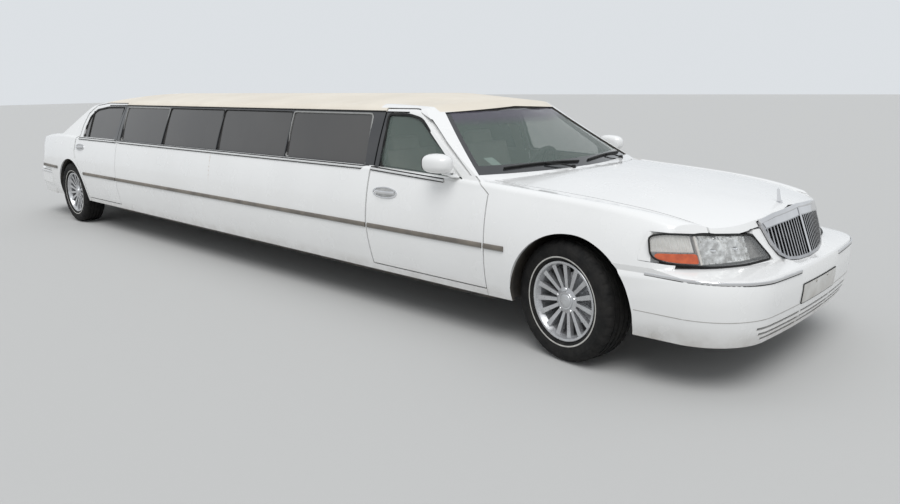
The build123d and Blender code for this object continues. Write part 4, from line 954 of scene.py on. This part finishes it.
def front_end():
    """Grille ridge, hood ornament, bumper strips, plate and seam."""
    forward = Vector((1, 0, 0))
    bumper = tree_of("front_bumper")
    fenders = tree_of("front_fenders")
    nose = on_nose(-0.0165), forward
    top_line = [(-0.413, 0.842), (-0.281, 0.864), (0.0, 0.881), (0.281, 0.864), (0.413, 0.842)]
    strip_on("grille_cap", top_line, nose, 0.024, 0.003, chrome, step=0.03, sink=0.011)
    strip_on("grille_ridge", [(0.0, 0.632), (0.0, 0.868)], nose, 0.016, 0.008, chrome, step=0.03)
    for hand, side in SIDES.items():
        band = [(side * 0.012, 0.832), (side * 0.012, 0.868), (side * 0.275, 0.852),
                (side * 0.396, 0.834), (side * 0.380, 0.808), (side * 0.268, 0.819)]
        sheet_on(f"grille_band_{hand}", band, nose, 0.004, chrome, step=0.03, lift=0.003)

    # A plain upright blade on the bonnet
    base = Vector((F + 0.795, 0.0, 1.8))
    base.z = tree_of("hood").ray_cast(base, Vector((0, 0, -1)), 1.5)[0].z
    blade = [(0.012, 0.0), (0.016, 0.010), (0.006, 0.014), (-0.006, 0.072), (-0.014, 0.078),
             (-0.020, 0.070), (-0.014, 0.010), (-0.020, 0.0)]
    points = [base + Vector((x, y, z)) for y in (-0.003, 0.003) for x, z in blade]
    n = len(blade)
    faces = [list(range(n))[::-1], [n + i for i in range(n)]]
    faces += [[i, (i + 1) % n, n + (i + 1) % n, n + i] for i in range(n)]
    make("hood_blade", points, faces, chrome, "hood", smooth=False)
    lathe("hood_blade_foot", [(0.0, 0.006), (0.012, 0.005), (0.019, 0.0), (0.019, -0.004)],
          turned(base + Vector((-0.003, 0, 0)), math.pi / 2, "X"), chrome, "hood", count=32)

    # Chrome strips round the bumper's corners, each with a black line beneath it as painted shadow,
    # and the seam of its lower part
    for hand, side in SIDES.items():
        plan = [(x, side * y, z) for x, y, z in (
            (1.042, 0.30, 0.590), (1.034, 0.46, 0.592), (1.018, 0.615, 0.594), (0.975, 0.735, 0.597),
            (0.905, 0.825, 0.600), (0.81, 0.89, 0.603), (0.70, 0.932, 0.606), (0.60, 0.944, 0.608),
            (0.50, 0.952, 0.610))]
        points, normals = wrap_points(bumper, plan, F, 0.25)
        sweep(f"bumper_strip_{hand}", points, normals, strip_profile(0.015, 0.006), chrome)
        # A thin black rubber strip just under each chrome strip: painted shadow beneath it
        sweep(f"bumper_strip_shadow_{hand}", [p + Vector((0, 0, -0.0095)) for p in points], normals,
              strip_profile(0.005, 0.0045, 0.006), rubber)
        seam = [(x, side * y, z) for x, y, z in (
            (1.04, 0.0, 0.405), (1.034, 0.46, 0.405), (1.01, 0.615, 0.405), (0.90, 0.825, 0.405),
            (0.70, 0.932, 0.407), (0.445, 0.952, 0.410))]
        sweep(f"valance_seam_{hand}", *wrap_points(bumper, seam, F, 0.25),
              strip_profile(0.004, 0.0009), seam_grey)
    for hand in SIDES:
        bumper_ledge(hand, fenders, bumper)

    place = along_x(bumper, F + 1.4, -1, 1.2, F + 0.8, ACROSS_GAPS)
    corners = [(-0.262, 0.402), (0.262, 0.402), (0.262, 0.514), (-0.262, 0.514)]
    sheet_on("front_plate_frame", rounded(corners, 0.012), (place, forward), 0.004, rubber, lift=0.004)
    plate = [(-0.256, 0.408), (0.256, 0.408), (0.256, 0.508), (-0.256, 0.508)]
    sheet_on("front_plate_blank", plate, (place, forward), 0.003, plate_white, lift=0.0065)
    for label, y in (("a", -0.089), ("b", 0.089)):
        lathe(f"front_plate_bolt_{label}",
              [(0.0, 0.004), (0.005, 0.0035), (0.006, 0.0), (0.0035, -0.002), (0.0033, -0.02)],
              turned(place(y, 0.5) + Vector((0.0065, 0, 0)), -math.pi / 2, "Z"), steel)


def rear_end():
    """Boot lid trim, lamp frames, plate, bumper strips and exhaust tip."""
    tail = tree_of("trunk_lid", "tail_panel", "quarter_panels", "tail_lamps")
    place = along_x(tail, R - 1.9, 1, 1.2, R - 1.3, ACROSS_GAPS)
    on = place, Vector((-1, 0, 0))
    lid = "trunk_lid"
    middle = 0.811
    corners = [(-0.262, 0.755), (0.262, 0.755), (0.262, 0.867), (-0.262, 0.867)]
    recess = rounded([(y * 1.25, (z - middle) * 1.3 + middle) for y, z in corners], 0.03)
    strip_on("boot_plate_surround", recess, on, 0.010, 0.005, seam_grey, lid, closed=True)
    sheet_on("rear_plate_frame", corners, on, 0.004, rubber, lid, lift=0.005)
    sheet_on("rear_plate_blank", [(y * 0.97, (z - middle) * 0.9 + middle) for y, z in corners], on,
             0.003, plate_white, lid, lift=0.0075)
    strip_on("boot_chrome_bar", [(-0.44, 0.915), (0.44, 0.915)], on, 0.034, 0.012, chrome, lid)
    lathe("boot_lock", [(0.0, 0.003), (0.010, 0.003), (0.013, 0.0), (0.013, -0.006)],
          turned(place(0.0, 0.955), math.pi / 2, "Z"), chrome, lid)
    for hand, side in SIDES.items():
        outline = [(0.676, 0.671), (0.676, 0.859), (0.80, 0.859), (0.80, 0.671)]
        strip_on(f"tail_lamp_frame_{hand}", rounded([(side * y, z) for y, z in outline], 0.02), on,
                 0.010, 0.006, chrome, closed=True, step=0.03)
        clear = [(side * 0.690, 0.688), (side * 0.690, 0.735), (side * 0.786, 0.735),
                 (side * 0.786, 0.688)]
        sheet_on(f"reverse_lamp_{hand}", clear, on, 0.004, (lamp_pale[0], "lamp"), step=0.03,
                 lift=0.004)
        strip_on(f"boot_reflector_{hand}", [(side * 0.35, 0.728), (side * 0.62, 0.728)], on, 0.050,
                 0.005, red_lens, lid)

    bumper = tree_of("rear_bumper")
    for hand, side in SIDES.items():
        plan = [(x, side * y) for x, y in ((-1.42, 0.0), (-1.41, 0.45), (-1.36, 0.70), (-1.26, 0.85),
                                           (-1.10, 0.93), (-0.90, 0.96), (-0.64, 0.97))]

        def round_at(level, first=0):
            return wrap_points(bumper, [(x, y, level) for x, y in plan[first:]], R, -0.55)

        sweep(f"rear_strip_{hand}", *round_at(0.548), strip_profile(0.016, 0.006), chrome)
        sweep(f"rear_seam_{hand}", *round_at(0.412), strip_profile(0.004, 0.0009), seam_grey)
        section = ((0.006, 0.5785), (0.016, 0.5925), (0.028, 0.6020), (0.20, 0.6036),
                   (0.20, 0.6006), (0.028, 0.5990), (0.006, 0.5755))
        rows = [[Vector((*(spot - normal * inset).xy, level)) for inset, level in section]
                for spot, normal in zip(*round_at(0.52, 2))]
        loft(f"bumper_corner_panel_{hand}", rows, paint, angle=30)
    rod("exhaust_tip", [(R - 1.25, -0.599, 0.3005), (R - 1.311, -0.5995, 0.2988),
                        (R - 1.372, -0.6, 0.297)], 0.027, (chrome[0], "steel"), count=24)


def tyre_piece(end, hand):
    """A tyre with ribs, a pale side ring, grooves and shoulder lugs."""
    base = [
        (0.2205, 0.0835), (0.2325, 0.0865), (0.2365, 0.0955), (0.2440, 0.1035), (0.2500, 0.1075),
        (0.2525, 0.1090), (0.2585, 0.1097), (0.2605, 0.1094), (0.2700, 0.1128), (0.2820, 0.1155),
        (0.2930, 0.1168), (0.3030, 0.1172), (0.3080, 0.1178), (0.3100, 0.1168), (0.3190, 0.1150),
        (0.3290, 0.1105), (0.3370, 0.1045), (0.3430, 0.0980), (0.3470, 0.0915), (0.3492, 0.0860),
        (0.3505, 0.0790), (0.3510, 0.0700), (0.3512, 0.0620), (0.3440, 0.0610), (0.3440, 0.0520),
        (0.3514, 0.0510), (0.3516, 0.0400), (0.3516, 0.0250), (0.3440, 0.0240), (0.3440, 0.0140),
        (0.3518, 0.0130), (0.3520, 0.0040),
    ]
    profile = base + [(r, -y) for r, y in reversed(base)]
    matrix = wheel_place(end, hand)
    n = len(profile)
    verts = []
    for i, t in enumerate(circle(180)):
        for r, y in profile:
            lug = 0.0
            if 0.335 < r and abs(y) > 0.064 and (i + (1 if y > 0 else 3)) % 5 == 0:
                lug = 0.0055
            if 0.35 < r and 0.02 < abs(y) < 0.064 and (i + int(abs(y) * 300)) % 6 == 0:
                lug = 0.0045
            verts.append(matrix @ Vector(((r - lug) * math.sin(t), y, (r - lug) * math.cos(t))))
    piece = make(f"tread_tyre_{end}_{hand}", verts, ring_faces(180, n, True),
                 ((tread[0], white_ring[0]), "tyre"), f"wheel_{end}_{hand}", angle=28)
    for face in piece.data.polygons:
        if face.index % n in (5, 6):
            face.material_index = 1
    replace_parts(piece, f"tyre_{end}_{hand}")


def wheel_details(end, hand):
    """Cap, rim lip, nuts and valve of one wheel."""
    matrix = wheel_place(end, hand)
    label = f"{end}_{hand}"
    body = f"wheel_{label}"
    cap = [(0.0, 0.0815), (0.020, 0.0812), (0.036, 0.0795), (0.0395, 0.0775), (0.0405, 0.0755),
           (0.0440, 0.0752), (0.0470, 0.0765), (0.0510, 0.0758), (0.0535, 0.0725), (0.0555, 0.067)]
    lathe(f"wheel_cap_{label}", cap, matrix, alloy, body, 64)
    lip = [(0.2175, 0.0935), (0.2190, 0.0965), (0.2240, 0.0985), (0.2300, 0.0985), (0.2325, 0.0960),
           (0.2322, 0.0925)]
    lathe(f"wheel_lip_{label}", lip, matrix, alloy, body, 120)
    for k, t in enumerate(circle(5)):
        spot = matrix @ Matrix.Translation((0.0665 * math.sin(t), 0.0668, 0.0665 * math.cos(t)))
        lathe(f"wheel_nut_{k + 1}_{label}", [(0.0, 0.006), (0.005, 0.006), (0.0075, 0.003),
                                             (0.008, -0.004)], spot, chrome, body, 6, 20)
    t = 0.21
    start, tip = (matrix @ Vector((r * math.sin(t), y, r * math.cos(t)))
                  for r, y in ((0.205, 0.078), (0.192, 0.098)))
    rod(f"wheel_valve_{label}", [start, start.lerp(tip, 0.5), tip], 0.0035, rubber, body)


def glasshouse():
    """Wipers, inside mirror, visors and windscreen patch."""
    forward = Vector((1, 0, 0.6))
    place = along_x(tree_of("screens"), F + 0.6, -1, 2.4, F - 0.6)
    for label, y0, y1 in (("left", 0.72, 0.10), ("right", -0.02, -0.66)):
        path = [(y0 + (y1 - y0) * k / 8, 1.036 + 0.010 * math.sin(math.pi * k / 8)) for k in range(9)]
        strip_on(f"wiper_blade_{label}", path, (place, forward), 0.013, 0.014, rubber)
        middle = place(*path[4]) + Vector((0.014, 0, 0.006))
        root = place((y0 + y1) / 2 + 0.20, 1.018) + Vector((0.022, 0, 0.0))
        rod(f"wiper_arm_{label}", [root, root.lerp(middle, 0.5) + Vector((0.004, 0, 0.006)), middle],
            0.005, rubber, count=8)
        lathe(f"wiper_root_{label}", [(0.0, 0.012), (0.012, 0.010), (0.016, 0.0), (0.016, -0.012)],
              turned(root, math.pi / 2, "X"), rubber, count=20)

    patch = [(-0.690, 1.062), (-0.690, 1.108), (-0.628, 1.108), (-0.628, 1.062)]
    sheet_on("screen_patch", patch, (place, -forward), 0.001, patch_green, lift=0.0125)

    mirror = [(F - 1.165, y, 1.290 + 0.02 * math.sin(k)) for k, y in ((0, -0.12), (1.57, 0),
                                                                      (3.14, 0.12))]
    sweep("inside_mirror", resample(mirror, 0.03), Vector((1, 0, 0.15)).normalized(),
          [(-0.030, -0.008), (-0.034, 0.0), (-0.030, 0.012), (-0.010, 0.020), (0.010, 0.020),
           (0.030, 0.012), (0.034, 0.0), (0.030, -0.008)], rubber)
    rod("inside_mirror_stalk", [(F - 1.152, 0, 1.312), (F - 1.14, 0, 1.33), (F - 1.135, 0, 1.352)],
        0.007, rubber)
    for label, y in (("left", 0.33), ("right", -0.33)):
        visor = [(F - 1.215, y - 0.20), (F - 1.215, y + 0.20), (F - 1.36, y + 0.20),
                 (F - 1.36, y - 0.20)]
        sheet_on(f"visor_{label}", rounded(visor, 0.03),
                 (lambda x, v: Vector((x, v, 1.352 + (F - 1.215 - x) * 0.10)), Vector((0, 0, -1))),
                 0.014, headliner)


def seats():
    """Padded seats in front, the rear bench and the long side bench."""
    floor = 0.3223
    flat = Matrix.Rotation(math.radians(-4), 4, "Y")
    upright = Matrix.Rotation(math.radians(-17), 4, "Y") @ Matrix.Rotation(math.radians(90), 4, "Y")
    wings = (("y", 0.62), ("y", -0.62))
    x = F - 1.72
    for label, y in (("left", 0.425), ("right", -0.425)):
        cushion = pillow(f"seat_cushion_{label}", (x + 0.31, y, floor + 0.145), (0.57, 0.51, 0.17),
                         flat, leather, 0.018, (("x", 0.35), ("x", -0.1), *wings))
        pillow(f"seat_back_{label}", (x + 0.015, y, floor + 0.49), (0.56, 0.50, 0.14), upright,
               leather, 0.018, (("x", 0.45), ("x", -0.05), *wings))
        pillow(f"head_rest_{label}", (x - 0.098, y, floor + 0.795), (0.13, 0.27, 0.09), upright,
               leather, 0.01, roundness=0.6, cuts=12)
        if label == "left":
            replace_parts(cushion, "front_seats")
    for label, y in (("left", 0.425), ("right", -0.425)):
        base = [(F - 1.64, y - 0.18), (F - 1.20, y - 0.18), (F - 1.20, y + 0.18),
                (F - 1.64, y + 0.18)]
        sheet_on(f"seat_base_{label}", base, (lambda x, v: Vector((x, v, floor + 0.07)),
                                              Vector((0, 0, 1))), 0.069, trim, step=0.2)

    rows = (("x", 0.3), ("x", -0.3))
    for i, y in enumerate((-0.415, 0.0, 0.415)):
        cushion = pillow(f"rear_cushion_{i + 1}", (R + 0.42, y, 0.585), (0.50, 0.405, 0.175), flat,
                         dark_leather, 0.018, rows, cuts=14)
        pillow(f"rear_back_{i + 1}", (R + 0.155, y, 0.90), (0.46, 0.405, 0.14), upright,
               dark_leather, 0.016, rows, cuts=14)
        if i == 0:
            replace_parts(cushion, "rear_seats")
    length = (F - 2.70) - (R + 1.50)
    count = 5
    for i in range(count):
        x = R + 1.50 + length * (i + 0.5) / count
        pillow(f"side_cushion_{i + 1}", (x, 0.565, floor + 0.135),
               (length / count - 0.008, 0.36, 0.17), Matrix.Identity(4), dark_leather, 0.016,
               (("y", 0.0),), cuts=12)
        pillow(f"side_back_{i + 1}", (x, 0.79, floor + 0.40), (length / count - 0.008, 0.40, 0.11),
               Matrix.Rotation(math.radians(90), 4, "X"), dark_leather, 0.012, (("y", 0.3),), cuts=12)


def smoothing(angle):
    """Nodes that shade a mesh smooth across its facets, with sharp edges over an angle."""
    group = bpy.data.node_groups.new("smooth_%d" % angle, "GeometryNodeTree")
    for way in ("INPUT", "OUTPUT"):
        group.interface.new_socket(name="Geometry", in_out=way, socket_type="NodeSocketGeometry")
    start = group.nodes.new("NodeGroupInput")
    merge = add(group, "GeometryNodeMergeByDistance",
                {"Geometry": start.outputs[0], "Distance": 0.00002})
    clear = add(group, "GeometryNodeRemoveAttribute",
                {"Geometry": merge.outputs["Geometry"], "Name": "custom_normal"})
    faces = add(group, "GeometryNodeSetShadeSmooth", {"Geometry": clear.outputs["Geometry"]})
    bend = group.nodes.new("GeometryNodeInputMeshEdgeAngle").outputs["Unsigned Angle"]
    limit = add(group, "FunctionNodeCompare", {0: bend, 1: math.radians(angle)})
    edges = add(group, "GeometryNodeSetShadeSmooth",
                {"Geometry": faces.outputs["Geometry"], "Selection": limit.outputs["Result"],
                 "Shade Smooth": False}, domain="EDGE")
    add(group, "NodeGroupOutput", {0: edges.outputs["Geometry"]})
    return group


smooth_panels = smoothing(32)
for label in (*PANELS, "tail_lamps", "stretch_glass", "screens", "grille"):
    nodes[label].modifiers.new("smooth", "NODES").node_group = smooth_panels
for hand in SIDES:
    side_trim(hand)
    mirror_details(hand)
    headlamp(hand)
    for end in ENDS:
        tyre_piece(end, hand)
        wheel_details(end, hand)
front_end()
rear_end()
glasshouse()
seats()


# Floor, light and camera

def floor_and_light():
    """A pale floor, an even sky and one broad lamp."""
    bpy.ops.mesh.primitive_plane_add(size=160, location=(0, 0, -0.001))
    floor = bpy.context.object
    floor.name = "studio_floor"

    def matt(tree):
        return add(tree, "ShaderNodeBsdfPrincipled", {"Base Color": (0.50, 0.50, 0.49, 1),
                                                      "Roughness": 0.9}).outputs["BSDF"]

    floor.data.materials.append(surface("floor_paint", matt))

    world = bpy.data.worlds.new("studio_sky")
    bpy.context.scene.world = world
    world.use_nodes = True
    tree = world.node_tree
    tree.nodes.clear()
    rays = tree.nodes.new("ShaderNodeLightPath").outputs
    seen = any_of(tree, rays["Is Camera Ray"], rays["Is Glossy Ray"], rays["Is Transmission Ray"])
    skies = [add(tree, "ShaderNodeBackground", {"Color": colour, "Strength": strength}).outputs[0]
             for colour, strength in (((0.93, 0.96, 1.0, 1), 0.70), ((0.72, 0.75, 0.78, 1), 1.0))]
    mix = add(tree, "ShaderNodeMixShader", {0: seen, 1: skies[0], 2: skies[1]})
    add(tree, "ShaderNodeOutputWorld", {"Surface": mix.outputs["Shader"]})

    sun = bpy.data.lights.new("soft_key", "SUN")
    sun.energy = 1.7
    sun.angle = math.radians(40)
    lamp = bpy.data.objects.new("soft_key", sun)
    lamp.rotation_euler = Vector((-0.35, 0.45, -1.0)).to_track_quat("-Z", "Y").to_euler()
    bpy.context.scene.collection.objects.link(lamp)


def place_camera():
    """The photograph's viewpoint: azimuth, fall and roll in radians, and focal length in pixels."""
    yaw, pitch, roll = 0.76027, 0.22729, -0.01302
    focal, width = 743.8, 900.0
    ahead = Vector((-math.sin(yaw) * math.cos(pitch), math.cos(yaw) * math.cos(pitch),
                    -math.sin(pitch)))
    level = Vector((math.cos(yaw), math.sin(yaw), 0))
    up = level.cross(ahead)
    right = math.cos(roll) * level + math.sin(roll) * up
    above = -math.sin(roll) * level + math.cos(roll) * up
    data = bpy.data.cameras.new("photo_camera")
    data.sensor_width = 36.0
    data.lens = focal / width * 36.0
    data.shift_y = 3.93 / width
    camera = bpy.data.objects.new("photo_camera", data)
    turn = Matrix((right, above, -ahead)).transposed()
    camera.matrix_world = Matrix.Translation((F + 2.29291, -4.25573, 1.55706)) @ turn.to_4x4()
    bpy.context.scene.collection.objects.link(camera)
    bpy.context.scene.camera = camera


floor_and_light()
place_camera()
bpy.context.scene.view_settings.view_transform = "Standard"

bpy.context.view_layer.update()
